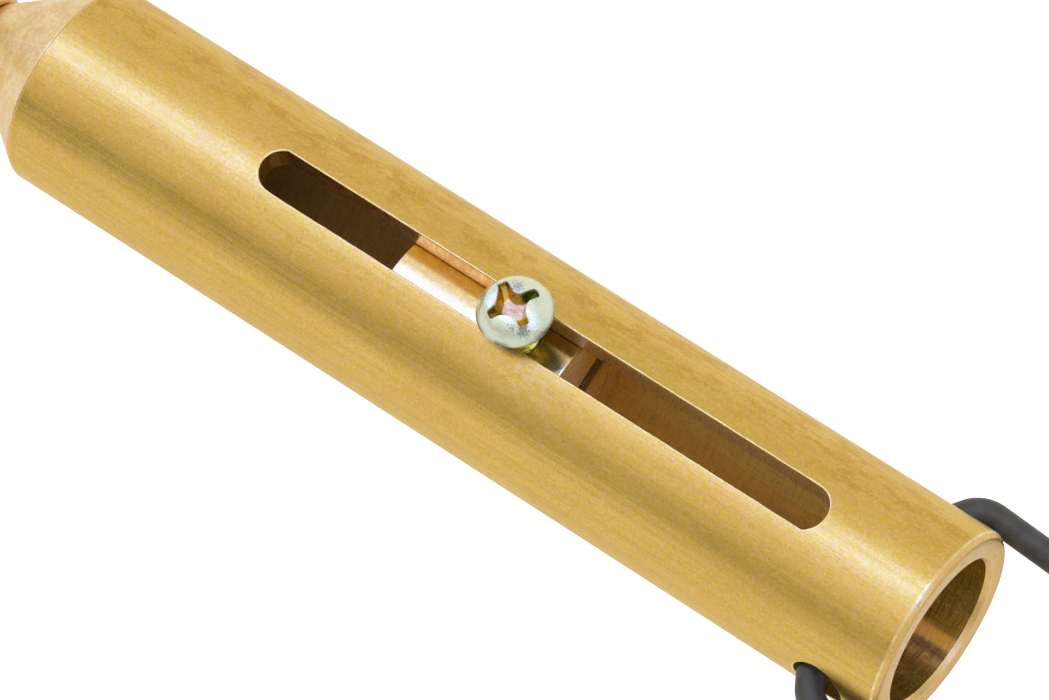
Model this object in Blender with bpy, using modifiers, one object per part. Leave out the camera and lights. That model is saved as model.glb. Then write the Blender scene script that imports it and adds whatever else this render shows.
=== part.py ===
"""Adjustable training whistle: a slotted brass tube with a turned nose and blow tube, a sliding
resonator held by a cross-recess clamp screw, and a wire bail at the open end.

Frame: metres, +X along the tube towards the open end, +Z the side the slot opens to, +Y to the
left of +X. The origin is the middle of the object's box in X and Y, at the height of the table
it lies on. Sizes and places below are in millimetres: x is measured along the tube from the base
of the nose cone, y and z from the tube axis.
"""

import math

import bmesh
import bpy
from mathutils import Vector

MM = 0.001
QUARTER_TURN = math.radians(90)

# ---------------------------------------------------------------- driving dimensions
TUBE_R = 8.0
BORE_R = 5.85
TUBE_L = 78.1           # cone base to open end
HOLE_X = 73.15          # cross holes for the bail

CONE_ANGLE = 35.0       # half angle of the nose cone, degrees
CONE_TIP_R = 2.45
CONE_TIP_X = -(TUBE_R - CONE_TIP_R) / math.tan(math.radians(CONE_ANGLE))
SPIGOT_L = 8.0          # part of the nose inside the tube
BLOW_FIT_R = 2.13       # bore of the pieces around the blow tube
MOUTH_X = -24.6         # mouth end of the blow tube

SLIDER_X0, SLIDER_X1 = 31.05, 46.15
SCREW_X = 41.95
SHANK_R = 1.45
HEAD_UNDER = 9.20       # height of the screw head's underside

WIRE_R = 1.05
BAIL_REACH = 36.3       # pivot to the middle of the bridge
DROOP = math.asin((TUBE_R - WIRE_R) / BAIL_REACH)       # the free end rests on the table

BAIL_END_X = HOLE_X + BAIL_REACH * math.cos(DROOP) + WIRE_R
MID_X = (MOUTH_X + BAIL_END_X) / 2

FACETS = 60             # one count and one phase for the large fits, so that no facets cross
SMALL_FACETS = 36
SEAL_FACETS = 30

# ---------------------------------------------------------------- scene
for old in list(bpy.data.objects):
    bpy.data.objects.remove(old, do_unlink=True)
scene = bpy.context.scene
scene.unit_settings.system = "METRIC"
scene.unit_settings.scale_length = 1.0

whistle = bpy.data.collections.new("training_whistle")
helpers = bpy.data.collections.new("cutters")
scene.collection.children.link(whistle)
scene.collection.children.link(helpers)


def empty(name, parent, location):
    made = bpy.data.objects.new(name, None)
    made.empty_display_size = 0.004
    made.location = Vector(location) * MM
    made.parent = parent
    whistle.objects.link(made)
    return made


tube_axis = empty("tube_axis", None, (-MID_X, 0, TUBE_R))
slider_axis = empty("slider_axis", tube_axis, (SCREW_X, 0, 0))
screw_axis = empty("screw_axis", slider_axis, (0, 0, HEAD_UNDER))
plug_axis = empty("plug_axis", slider_axis, (SLIDER_X1 - SCREW_X, 0, 0))
bail_axis = empty("bail_axis", tube_axis, (HOLE_X, 0, 0))


# ---------------------------------------------------------------- looks
def material(name, colour, roughness, metallic=1.0):
    made = bpy.data.materials.new(name)
    made.use_nodes = True
    shader = made.node_tree.nodes["Principled BSDF"]
    shader.inputs["Base Color"].default_value = (*colour, 1.0)
    shader.inputs["Metallic"].default_value = metallic
    shader.inputs["Roughness"].default_value = roughness
    made.diffuse_color = (*colour, 1.0)
    return made


brass = material("drawn_brass", colour=(0.78, 0.57, 0.22), roughness=0.34)
turned_brass = material("turned_brass", colour=(0.80, 0.60, 0.32), roughness=0.38)
polished_brass = material("polished_brass", colour=(0.88, 0.72, 0.45), roughness=0.16)
zinc = material("zinc_plate", colour=(0.74, 0.77, 0.70), roughness=0.28)
black_wire = material(
    "blackened_wire", colour=(0.045, 0.047, 0.05), roughness=0.42, metallic=0.85
)
rubber = material("seal_rubber", colour=(0.03, 0.03, 0.03), roughness=0.7, metallic=0.0)
nylon = material("lock_nylon", colour=(0.86, 0.85, 0.80), roughness=0.5, metallic=0.0)


# ---------------------------------------------------------------- building tools
def origin_of(parent):
    """Place of an empty, measured from tube_axis."""
    place = Vector((0, 0, 0))
    while parent != tube_axis:
        place += parent.location / MM
        parent = parent.parent
    return place


def link(name, mesh, parent, look=None):
    """Put a mesh in the scene; one without a look is a hidden helper."""
    made = bpy.data.objects.new(name, mesh)
    made.parent = parent
    if look is None:
        helpers.objects.link(made)
        made.hide_render = True
        made.display_type = "WIRE"
    else:
        whistle.objects.link(made)
        mesh.materials.append(look)
    return made


def turned(name, profile, parent, look, along="X", steps=FACETS):
    """A turned profile of (place along the axis, radius).

    The profile is closed unless both its ends are on the axis.
    """
    origin = origin_of(parent)
    start = origin.x if along == "X" else origin.z
    solid = profile[0][1] == 0 and profile[-1][1] == 0
    area = sum(
        x0 * r1 - x1 * r0
        for (x0, r0), (x1, r1) in zip(profile, profile[1:] + profile[:1], strict=True)
    )
    # Seen with the radius to the right and the axis up, the outer side runs from top to bottom.
    points = profile if area > 0 else profile[::-1]
    mesh = bpy.data.meshes.new(name)
    outline = bmesh.new()
    verts = [outline.verts.new((radius * MM, 0, (x - start) * MM)) for x, radius in points]
    for pair in zip(verts, verts[1:]):
        outline.edges.new(pair)
    if not solid:
        outline.edges.new((verts[-1], verts[0]))
    outline.to_mesh(mesh)
    outline.free()
    made = link(name, mesh, parent, look)
    if along == "X":
        made.rotation_euler = (0, QUARTER_TURN, 0)
    screw = made.modifiers.new("turn", "SCREW")
    screw.axis = "Z"
    screw.angle = math.radians(360)
    screw.steps = screw.render_steps = steps
    screw.use_merge_vertices = True
    screw.merge_threshold = 1e-6
    screw.use_smooth_shade = True
    return made


def place_cutter(name, shape, parent, place, rotation):
    """Turn a bmesh into a helper centred on a place measured from tube_axis."""
    mesh = bpy.data.meshes.new(name)
    shape.to_mesh(mesh)
    shape.free()
    made = link(name, mesh, parent)
    made.location = (Vector(place) - origin_of(parent)) * MM
    made.rotation_euler = rotation
    return made


def cylinder(name, radius, length, parent, place, rotation=(0, 0, 0), steps=48):
    shape = bmesh.new()
    bmesh.ops.create_cone(
        shape, cap_ends=True, segments=steps,
        radius1=radius * MM, radius2=radius * MM, depth=length * MM,
    )
    return place_cutter(name, shape, parent, place, rotation)


def box(name, size, parent, place, rotation):
    shape = bmesh.new()
    bmesh.ops.create_cube(shape, size=1.0)
    bmesh.ops.scale(shape, vec=Vector(size) * MM, verts=shape.verts)
    return place_cutter(name, shape, parent, place, rotation)


def cut(made, cutter):
    step = made.modifiers.new("cut_" + cutter.name, "BOOLEAN")
    step.operation = "DIFFERENCE"
    step.solver = "EXACT"
    step.object = cutter


def poly_curve(name, dimensions, points, cyclic):
    """A curve of straight runs through (x, y) points."""
    curve = bpy.data.curves.new(name, "CURVE")
    curve.dimensions = dimensions
    spline = curve.splines.new("POLY")
    spline.points.add(len(points) - 1)
    for point, (x, y) in zip(spline.points, points, strict=True):
        point.co = (x * MM, y * MM, 0, 1)
    spline.use_cyclic_u = cyclic
    return curve


def curve_mesh(name, curve, parent, look=None):
    """An object holding the mesh of a curve, with its caps welded."""
    guide = bpy.data.objects.new(name + "_guide", curve)
    helpers.objects.link(guide)
    bpy.context.view_layer.update()
    graph = bpy.context.evaluated_depsgraph_get()
    mesh = bpy.data.meshes.new_from_object(guide.evaluated_get(graph))
    bpy.data.objects.remove(guide, do_unlink=True)
    shape = bmesh.new()
    shape.from_mesh(mesh)
    bmesh.ops.remove_doubles(shape, verts=shape.verts, dist=1e-6)
    bmesh.ops.recalc_face_normals(shape, faces=shape.faces)
    shape.to_mesh(mesh)
    shape.free()
    mesh.materials.clear()
    mesh.name = name
    return link(name, mesh, parent, look)


def collar(name, x0, x1, outer_r, edge_r, steps=4):
    """A ring around the blow tube with its two outer edges rounded."""
    profile = [(x0, BLOW_FIT_R)]
    for centre_x, first in ((x0 + edge_r, 180), (x1 - edge_r, 90)):
        for i in range(steps + 1):
            angle = math.radians(first - 90 * i / steps)
            profile.append((
                centre_x + edge_r * math.cos(angle),
                outer_r - edge_r + edge_r * math.sin(angle),
            ))
    profile.append((x1, BLOW_FIT_R))
    turned(name, profile, tube_axis, turned_brass, steps=SMALL_FACETS)


def seal(name, x, ring_r, cord_r, parent, steps=10):
    """A rubber ring of round section."""
    angles = [math.tau * i / steps for i in range(steps)]
    profile = [(x + cord_r * math.cos(a), ring_r + cord_r * math.sin(a)) for a in angles]
    turned(name, profile, parent, rubber, steps=SEAL_FACETS)


# ---------------------------------------------------------------- tube
TUBE_START = 0.03       # gap between the cone base and the tube
END_CHAMFER = 0.35      # outer edge at the open end
BORE_CHAMFER = 0.25     # inner edge at the open end
HOLE_R = 2.05
HOLE_CUT_L = 24         # passes through both walls

SLOT_W = 3.35
SLOT_START, SLOT_END = 18.96, 68.78         # first and last points of the slot
SLOT_START_R, SLOT_START_Y = 1.75, 0.10     # drilled end, radius and sideways offset
SLOT_END_R, SLOT_END_Y = 1.81, -0.14
SLOT_ARC_STEPS = 24
SLOT_CUT_Z, SLOT_CUT_HALF = 7.0, 3.0        # middle and half height of the cutter


def drilled_end(x, y, radius, at_end):
    """Arc of one end of the slot, running on behind its middle to meet the straight sides."""
    left = math.asin(min(1, (SLOT_W / 2 - y) / radius))
    right = math.asin(max(-1, (-SLOT_W / 2 - y) / radius))
    if at_end:
        first, last = -math.pi - right, math.pi - left
    else:
        first, last = left, math.tau + right
    angles = [first + (last - first) * i / SLOT_ARC_STEPS for i in range(SLOT_ARC_STEPS + 1)]
    return [(x + radius * math.cos(a), y + radius * math.sin(a)) for a in angles]


def build_tube():
    profile = [
        (TUBE_START, BORE_R),
        (TUBE_START, TUBE_R),
        (TUBE_L - END_CHAMFER, TUBE_R),
        (TUBE_L, TUBE_R - END_CHAMFER),
        (TUBE_L, BORE_R + BORE_CHAMFER),
        (TUBE_L - BORE_CHAMFER, BORE_R),
    ]
    tube = turned("body_tube", profile, tube_axis, brass)

    # The slot's plan, anticlockwise seen from +Z.
    plan = drilled_end(SLOT_END - SLOT_END_R, SLOT_END_Y, SLOT_END_R, at_end=True)
    plan += drilled_end(SLOT_START + SLOT_START_R, SLOT_START_Y, SLOT_START_R, at_end=False)
    curve = poly_curve("slot", "2D", plan, cyclic=True)
    curve.fill_mode = "BOTH"
    curve.extrude = SLOT_CUT_HALF * MM
    slot_cutter = curve_mesh("slot_cutter", curve, tube_axis)
    slot_cutter.location = (0, 0, SLOT_CUT_Z * MM)
    cut(tube, slot_cutter)
    cut(tube, cylinder(
        "bail_hole_cutter", HOLE_R, HOLE_CUT_L, tube_axis, (HOLE_X, 0, 0), (QUARTER_TURN, 0, 0)
    ))


# ---------------------------------------------------------------- nose and blow tube
SPIGOT_R = 5.83
SPIGOT_CHAMFER = 0.2
SPIGOT_BORE_R = 4.40
NOSE_GROOVE_X0, NOSE_GROOVE_X1, NOSE_GROOVE_R = 4.9, 5.95, 4.90
BLOW_R, BLOW_BORE_R = 2.10, 1.45
BLOW_END_X = 2.80       # inner end of the blow tube
MOUTH_CHAMFER = 0.15    # inner edge at the mouth


def build_nose():
    profile = [
        (CONE_TIP_X, BLOW_FIT_R),
        (CONE_TIP_X, CONE_TIP_R),
        (0, TUBE_R),
        (0, SPIGOT_R),
        # Groove for the seal.
        (NOSE_GROOVE_X0, SPIGOT_R),
        (NOSE_GROOVE_X0, NOSE_GROOVE_R),
        (NOSE_GROOVE_X1, NOSE_GROOVE_R),
        (NOSE_GROOVE_X1, SPIGOT_R),
        (SPIGOT_L - SPIGOT_CHAMFER, SPIGOT_R),
        (SPIGOT_L, SPIGOT_R - SPIGOT_CHAMFER),
        # Stepped bore, back to the blow tube.
        (SPIGOT_L, SPIGOT_BORE_R),
        (4.15, SPIGOT_BORE_R),
        (4.15, 3.80),
        (2.90, 3.80),
        (2.90, BLOW_FIT_R),
    ]
    turned("nose_cone", profile, tube_axis, turned_brass)
    groove_middle = (NOSE_GROOVE_X0 + NOSE_GROOVE_X1) / 2
    seal("nose_seal", groove_middle, ring_r=5.375, cord_r=0.43, parent=tube_axis)


def build_blow_tube():
    profile = [
        (MOUTH_X, BLOW_BORE_R + MOUTH_CHAMFER),
        (MOUTH_X, BLOW_R),
        (BLOW_END_X, BLOW_R),
        (BLOW_END_X, BLOW_BORE_R),
        (MOUTH_X + MOUTH_CHAMFER, BLOW_BORE_R),
    ]
    turned("blow_tube", profile, tube_axis, brass, steps=SMALL_FACETS)
    collar("neck_ferrule", CONE_TIP_X - 2.7, CONE_TIP_X - 0.05, outer_r=3.05, edge_r=0.9)
    collar("mouth_bead", MOUTH_X, MOUTH_X + 2.4, outer_r=3.15, edge_r=0.8)


# ---------------------------------------------------------------- jet, inside the spigot
JET_R = 4.37
AIR_HOLES = 6
AIR_HOLE_R = 0.70
AIR_HOLE_CIRCLE_R = 2.75
AIR_CUT_X, AIR_CUT_L = 4.5, 2.0


def build_jet():
    ring = [(6.50, 4.05), (6.50, JET_R), (SPIGOT_L, JET_R), (SPIGOT_L, 3.75), (7.20, 3.75)]
    turned("jet_ring", ring, tube_axis, turned_brass, steps=SMALL_FACETS)
    # A drilled disc, a narrow neck and a flared end.
    profile = [
        (4.18, 0), (4.18, JET_R), (4.90, JET_R), (4.90, 1.20),
        (5.60, 1.20), (7.00, 3.35), (SPIGOT_L, 3.35), (SPIGOT_L, 0),
    ]
    core = turned("jet_core", profile, tube_axis, turned_brass, steps=SMALL_FACETS)
    for i in range(AIR_HOLES):
        angle = math.tau * (i + 0.5) / AIR_HOLES
        y = AIR_HOLE_CIRCLE_R * math.cos(angle)
        z = AIR_HOLE_CIRCLE_R * math.sin(angle)
        cut(core, cylinder(
            f"air_hole_cutter_{i}", AIR_HOLE_R, AIR_CUT_L, tube_axis,
            (AIR_CUT_X, y, z), (0, QUARTER_TURN, 0), steps=16,
        ))


# ---------------------------------------------------------------- slider
SLIDER_R = 5.77
SLIDER_CHAMFER = 0.12
SLEEVE_BORE_R = 3.90
CUP_X, CUP_R = 33.40, 5.00      # floor and radius of the recess that holds the edge ring
TAPPED_R = 1.50
TAPPED_CUT_Z, TAPPED_CUT_L = 5.0, 6


def build_slider():
    profile = [
        (SLIDER_X0, CUP_R),
        (SLIDER_X0, SLIDER_R - SLIDER_CHAMFER),
        (SLIDER_X0 + SLIDER_CHAMFER, SLIDER_R),
        (SLIDER_X1 - SLIDER_CHAMFER, SLIDER_R),
        (SLIDER_X1, SLIDER_R - SLIDER_CHAMFER),
        (SLIDER_X1, SLEEVE_BORE_R),
        (CUP_X, SLEEVE_BORE_R),
        (CUP_X, CUP_R),
    ]
    sleeve = turned("slider_sleeve", profile, slider_axis, polished_brass)
    cut(sleeve, cylinder(
        "tapped_hole_cutter", TAPPED_R, TAPPED_CUT_L, slider_axis, (SCREW_X, 0, TAPPED_CUT_Z)
    ))
    edge = [(31.25, 3.45), (31.25, 3.55), (32.60, 4.96), (33.38, 4.96), (33.38, 3.45)]
    turned("edge_ring", edge, slider_axis, turned_brass)


# ---------------------------------------------------------------- tuning piston and plug
PISTON_R = 3.70
PISTON_GROOVE_X0, PISTON_GROOVE_X1, PISTON_GROOVE_R = 37.05, 37.95, 3.02
PLUG_END_X = 46.10
DRIVER_SLOT_SIZE = (2.6, 9.0, 2.2)      # twice its depth, length, width
DRIVER_SLOT_TURN = math.radians(18.8)


def build_tuning():
    piston = [
        (36.40, 0),
        (36.40, 3.55),
        (36.55, PISTON_R),
        (PISTON_GROOVE_X0, PISTON_R),
        (PISTON_GROOVE_X0, PISTON_GROOVE_R),
        (PISTON_GROOVE_X1, PISTON_GROOVE_R),
        (PISTON_GROOVE_X1, PISTON_R),
        (38.60, PISTON_R),
        # Socket for the plug's stem.
        (38.60, 1.00),
        (37.55, 1.00),
        (37.55, 0),
    ]
    turned("tuning_piston", piston, plug_axis, turned_brass, steps=SMALL_FACETS)
    groove_middle = (PISTON_GROOVE_X0 + PISTON_GROOVE_X1) / 2
    seal("piston_seal", groove_middle, ring_r=3.46, cord_r=0.40, parent=plug_axis)

    # A thin stem, then the body with both edges chamfered.
    profile = [
        (37.75, 0), (37.75, 0.92), (38.95, 0.92), (38.95, 3.55),
        (39.25, 3.85), (46.05, 3.85), (PLUG_END_X, 3.80), (PLUG_END_X, 0),
    ]
    plug = turned("tuning_plug", profile, plug_axis, polished_brass, steps=SMALL_FACETS)
    cut(plug, box(
        "driver_slot_cutter", DRIVER_SLOT_SIZE, plug_axis,
        (PLUG_END_X, 0, 0), (DRIVER_SLOT_TURN, 0, 0),
    ))


# ---------------------------------------------------------------- clamp screw and its pad
SCREW_TIP = 4.78
TIP_CHAMFER = 0.25
HEAD_R = 2.80
HEAD_H = 1.70
RECESS_SPAN, RECESS_W, RECESS_DEPTH = 3.80, 0.80, 1.20
RECESS_TURNS = (62.0, 152.0)    # degrees about the screw, one for each bar of the cross
# Domed head: height above its underside, radius.
HEAD_PROFILE = [
    (0.00, 2.60), (0.18, HEAD_R), (0.30, HEAD_R), (0.52, 2.72), (0.80, 2.55),
    (1.08, 2.35), (1.32, 2.12), (1.50, 1.85), (1.63, 1.45), (HEAD_H, 0),
]


def build_clamp_screw():
    profile = [
        (SCREW_TIP, 0),
        (SCREW_TIP, SHANK_R - TIP_CHAMFER),
        (SCREW_TIP + TIP_CHAMFER, SHANK_R),
        (HEAD_UNDER, SHANK_R),
    ]
    profile += [(HEAD_UNDER + rise, radius) for rise, radius in HEAD_PROFILE]
    screw = turned(
        "clamp_screw", profile, screw_axis, zinc, along="Z", steps=SMALL_FACETS
    )
    for i, turn in enumerate(RECESS_TURNS):
        cut(screw, box(
            f"recess_cutter_{i}", (RECESS_SPAN, RECESS_W, 2 * RECESS_DEPTH), screw_axis,
            (SCREW_X, 0, HEAD_UNDER + HEAD_H), (0, 0, math.radians(turn)),
        ))
    pad = [(4.35, 0), (4.35, 1.20), (4.75, 1.20), (4.75, 0)]
    turned("lock_pad", pad, screw_axis, nylon, along="Z", steps=32)


# ---------------------------------------------------------------- bail
BAIL_HALF_W = 9.55              # tube axis to the middle of an arm
END_SHIFTS = (0.50, -0.76)      # x of each bent end from the pivot, for +Y and -Y
TIP_Y = 6.0
END_BEND_R, END_TURN = 1.20, math.radians(32)   # first bend, at the hole
END_RUN = 0.72                  # slanting run after the first bend
BEND_R = 2.20                   # bend from the slanting run into the arm
CORNER_R = 4.0                  # between arm and bridge
ARM_PARTS = 6
CORNER_STEPS = 10


def bend(start, radius, first, last, steps):
    """Points after start of an arc turning from +Y towards +X, by its directions from +Y."""
    x, y = start
    angles = [first + (last - first) * i / steps for i in range(1, steps + 1)]
    return [
        (x + radius * (math.cos(first) - math.cos(a)), y + radius * (math.sin(a) - math.sin(first)))
        for a in angles
    ]


def bail_side(shift):
    """Middle line of one half of the wire, from its end to the bridge, with y outwards."""
    rise = (
        END_BEND_R * math.sin(END_TURN)
        + END_RUN * math.cos(END_TURN)
        + BEND_R * (1 - math.sin(END_TURN))
    )
    side = [(shift, TIP_Y), (shift, BAIL_HALF_W - rise)]
    side += bend(side[-1], END_BEND_R, 0, END_TURN, steps=4)
    x, y = side[-1]
    side.append((x + END_RUN * math.sin(END_TURN), y + END_RUN * math.cos(END_TURN)))
    side += bend(side[-1], BEND_R, END_TURN, QUARTER_TURN, steps=7)

    arm_x = side[-1][0]
    corner_x, corner_y = BAIL_REACH - CORNER_R, BAIL_HALF_W - CORNER_R
    for i in range(1, ARM_PARTS):
        side.append((arm_x + (corner_x - arm_x) * i / ARM_PARTS, BAIL_HALF_W))
    for i in range(CORNER_STEPS + 1):
        angle = math.radians(90 - 90 * i / CORNER_STEPS)
        side.append((corner_x + CORNER_R * math.cos(angle), corner_y + CORNER_R * math.sin(angle)))
    return side


def build_bail():
    left, right = (bail_side(shift) for shift in END_SHIFTS)
    path = left + [(BAIL_REACH, 0.0)] + [(x, -y) for x, y in reversed(right)]
    curve = poly_curve("bail_path", "3D", path, cyclic=False)
    curve.bevel_depth = WIRE_R * MM
    curve.bevel_resolution = 4
    curve.use_fill_caps = True
    bail = curve_mesh("wire_bail", curve, bail_axis, black_wire)
    bail.rotation_euler = (0, DROOP, 0)


build_tube()
build_nose()
build_blow_tube()
build_jet()
build_slider()
build_tuning()
build_clamp_screw()
build_bail()

for piece in whistle.objects:
    if piece.type == "MESH":
        piece.data.shade_smooth()
        piece.data.set_sharp_from_angle(angle=math.radians(30))
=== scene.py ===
"""A pocket whistle: brass tube, turned nose, blow pipe, tuning slider, clamp screw and wire bail.

The tube lies along X. The cone's base is at x = 0, the mouthpiece points to -X and the open
end to +X. The slot and the screw face up (+Z), and the bail's holes are at -Y and +Y. Sizes
are millimetres from the middle of the cone's base; the scene itself is in metres.
"""

import math
from functools import cached_property

import bmesh
import bpy
import numpy as np
from mathutils import Matrix, Vector
from mathutils.geometry import delaunay_2d_cdt


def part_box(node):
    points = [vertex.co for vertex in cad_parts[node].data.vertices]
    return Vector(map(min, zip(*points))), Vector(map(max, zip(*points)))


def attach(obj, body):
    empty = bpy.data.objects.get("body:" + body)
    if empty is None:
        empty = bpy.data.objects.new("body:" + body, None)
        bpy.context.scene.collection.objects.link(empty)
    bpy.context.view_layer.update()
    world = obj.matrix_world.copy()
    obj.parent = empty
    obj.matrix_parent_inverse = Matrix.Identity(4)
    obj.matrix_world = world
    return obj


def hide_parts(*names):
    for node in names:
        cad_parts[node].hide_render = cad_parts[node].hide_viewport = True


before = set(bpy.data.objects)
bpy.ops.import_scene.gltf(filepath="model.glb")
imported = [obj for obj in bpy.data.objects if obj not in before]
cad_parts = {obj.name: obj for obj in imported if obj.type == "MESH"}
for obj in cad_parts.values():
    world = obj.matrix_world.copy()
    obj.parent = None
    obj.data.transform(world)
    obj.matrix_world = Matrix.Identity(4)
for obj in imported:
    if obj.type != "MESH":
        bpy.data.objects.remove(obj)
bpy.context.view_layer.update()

# ---------------------------------------------------------------- sizes, mm
TUBE_R = 8.0
BORE_R = 5.85
TUBE_L = 78.1

SLOT_W = 3.35
SLOT_START = 18.96
SLOT_END = 68.78
SLOT_START_R = 1.75  # the slot's ends are arcs a little off its middle line
SLOT_START_Y = 0.10
SLOT_END_R = 1.81
SLOT_END_Y = -0.14

HOLE_X = 73.15
HOLE_R = 2.05

CONE_ANGLE = 35.0
CONE_TIP_R = 2.45
CONE_L = (TUBE_R - CONE_TIP_R) / math.tan(math.radians(CONE_ANGLE))
NECK_BORE_R = 2.13  # the hole the blow pipe passes through
MOUTH_X = -24.6

SLIDER_X0 = 31.05
SLIDER_X1 = 46.15
SLIDER_R = 5.77
SLEEVE_BORE_R = 3.90

SCREW_X = 41.95
TAPPED_R = 1.50
SHANK_R = 1.45
HEAD_R = 2.80
HEAD_UNDER = 9.20
HEAD_H = 1.70
SCREW_TIP = 4.78
THREAD_PITCH = 0.5
THREAD_DEPTH = 0.26
RECESS_TURN = math.radians(62.0)
RECESS_REACH = 1.94
RECESS_HALF_W = 0.385
RECESS_DEPTH = 1.23
RECESS_WEAR = (0.84, 1.40, 1.20, 1.12)  # how far each inner corner of the cross is cut back

WIRE_R = 1.05
BAIL_REACH = 36.3
BAIL_HALF_W = 9.55
BEND_R = 2.20
CORNER_R = 4.0
TIP_Y = 6.0
CAP_ROUND = 0.14  # rounding of the wire's cut ends
END_SHIFTS = (0.50, -0.76)  # x of the wire's ends from the holes, at +Y and at -Y
END_BEND_R = 1.20
END_TURN = math.radians(32)
END_RUN = 0.72
DROOP = math.asin((TUBE_R - WIRE_R) / BAIL_REACH)

AROUND = 256  # faces around a turned piece

# The tube's own place in the frame gives the place of everything.
tube_lo, tube_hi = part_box("body_tube")
ORIGIN = np.array([tube_hi[0] * 1000 - TUBE_L, 0.0, (tube_lo[2] + tube_hi[2]) * 500])


def in_metres(points):
    return (np.asarray(points) + ORIGIN) / 1000


def value_noise(x, seed):
    """Smooth numbers in -1..1 along x, the same every run."""
    cell = np.floor(x)
    blend = x - cell
    blend = blend * blend * (3 - 2 * blend)

    def at(place):
        value = np.sin((place + seed * 17.13) * 127.1) * 43758.5453
        return 2 * (value - np.floor(value)) - 1

    return at(cell) * (1 - blend) + at(cell + 1) * blend


# ---------------------------------------------------------------- mesh code
class Skin:
    """Patches of faces, each with a normal for every corner. They are welded into one mesh."""

    def __init__(self):
        self.points = []
        self.normals = []
        self.faces = []
        self.looks = []
        self.count = 0

    def patch(self, points, normals, faces, look=0):
        points = np.asarray(points, float).reshape(-1, 3)
        normals = np.asarray(normals, float).reshape(-1, 3)
        normals = normals / np.maximum(np.linalg.norm(normals, axis=1, keepdims=True), 1e-12)
        faces = np.asarray(faces, int)
        if faces.shape[1] == 3:  # a triangle is kept as a quad with its last corner twice
            faces = np.concatenate([faces, faces[:, 2:]], axis=1)
        self.points.append(points)
        self.normals.append(normals)
        self.faces.append(faces + self.count)
        self.looks.append(np.full(len(faces), look))
        self.count += len(points)

    def grid(self, points, normals, look=0, mask=None):
        """Rows of points joined by quads; every row is a closed ring."""
        points = np.asarray(points, float)
        rows, cols = points.shape[:2]
        index = np.arange(rows * cols).reshape(rows, cols)
        index = np.concatenate([index, index[:, :1]], axis=1)
        corners = [index[:-1, :-1], index[1:, :-1], index[1:, 1:], index[:-1, 1:]]
        quads = np.stack(corners, -1)
        quads = quads[mask] if mask is not None else quads.reshape(-1, 4)
        self.patch(points, normals, quads, look)

    def build(self, name, cad_name, body, looks, weld=1e-4):
        points = np.concatenate(self.points)
        normals = np.concatenate(self.normals)
        faces = np.concatenate(self.faces)
        look = np.concatenate(self.looks)
        _, first, welded_index = np.unique(
            np.round(points / weld).astype(np.int64),
            axis=0, return_index=True, return_inverse=True,
        )
        welded_index = welded_index.reshape(-1)
        welded = points[first]

        # Turn the faces that look against their corners' normals.
        p = points[faces]
        facing = np.cross(p[:, 2] - p[:, 0], p[:, 3] - p[:, 1])
        tri = faces[:, 2] == faces[:, 3]
        facing[tri] = np.cross(p[tri, 1] - p[tri, 0], p[tri, 2] - p[tri, 0])
        turned = (facing * normals[faces].mean(axis=1)).sum(axis=1) < 0
        faces[turned] = faces[turned][:, ::-1]

        # Drop the corners that the weld made equal, and the faces it closed up.
        polygons, sources, kinds = [], [], []
        for face, kind in zip(faces.tolist(), look.tolist()):
            ring, own = [], []
            for corner in face:
                vertex = int(welded_index[corner])
                if vertex not in ring:
                    ring.append(vertex)
                    own.append(corner)
            if len(ring) >= 3:
                polygons.append(ring)
                sources.extend(own)
                kinds.append(kind)
        used = np.unique(np.concatenate([np.asarray(ring) for ring in polygons]))
        renumber = np.full(len(welded), -1)
        renumber[used] = np.arange(len(used))
        polygons = [[int(renumber[vertex]) for vertex in ring] for ring in polygons]

        mesh = bpy.data.meshes.new(name)
        mesh.from_pydata(in_metres(welded[used]).tolist(), [], polygons)
        mesh.polygons.foreach_set("use_smooth", [True] * len(polygons))
        mesh.polygons.foreach_set("material_index", kinds)
        mesh.normals_split_custom_set(normals[sources].tolist())
        mesh.update()
        made = bpy.data.objects.new(name, mesh)
        bpy.context.scene.collection.objects.link(made)
        for material in looks:
            mesh.materials.append(material)
        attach(made, body)
        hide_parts(cad_name)
        return made


def rotated(vector, angle):
    cos, sin = math.cos(angle), math.sin(angle)
    return np.array([vector[0] * cos - vector[1] * sin, vector[0] * sin + vector[1] * cos])


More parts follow.
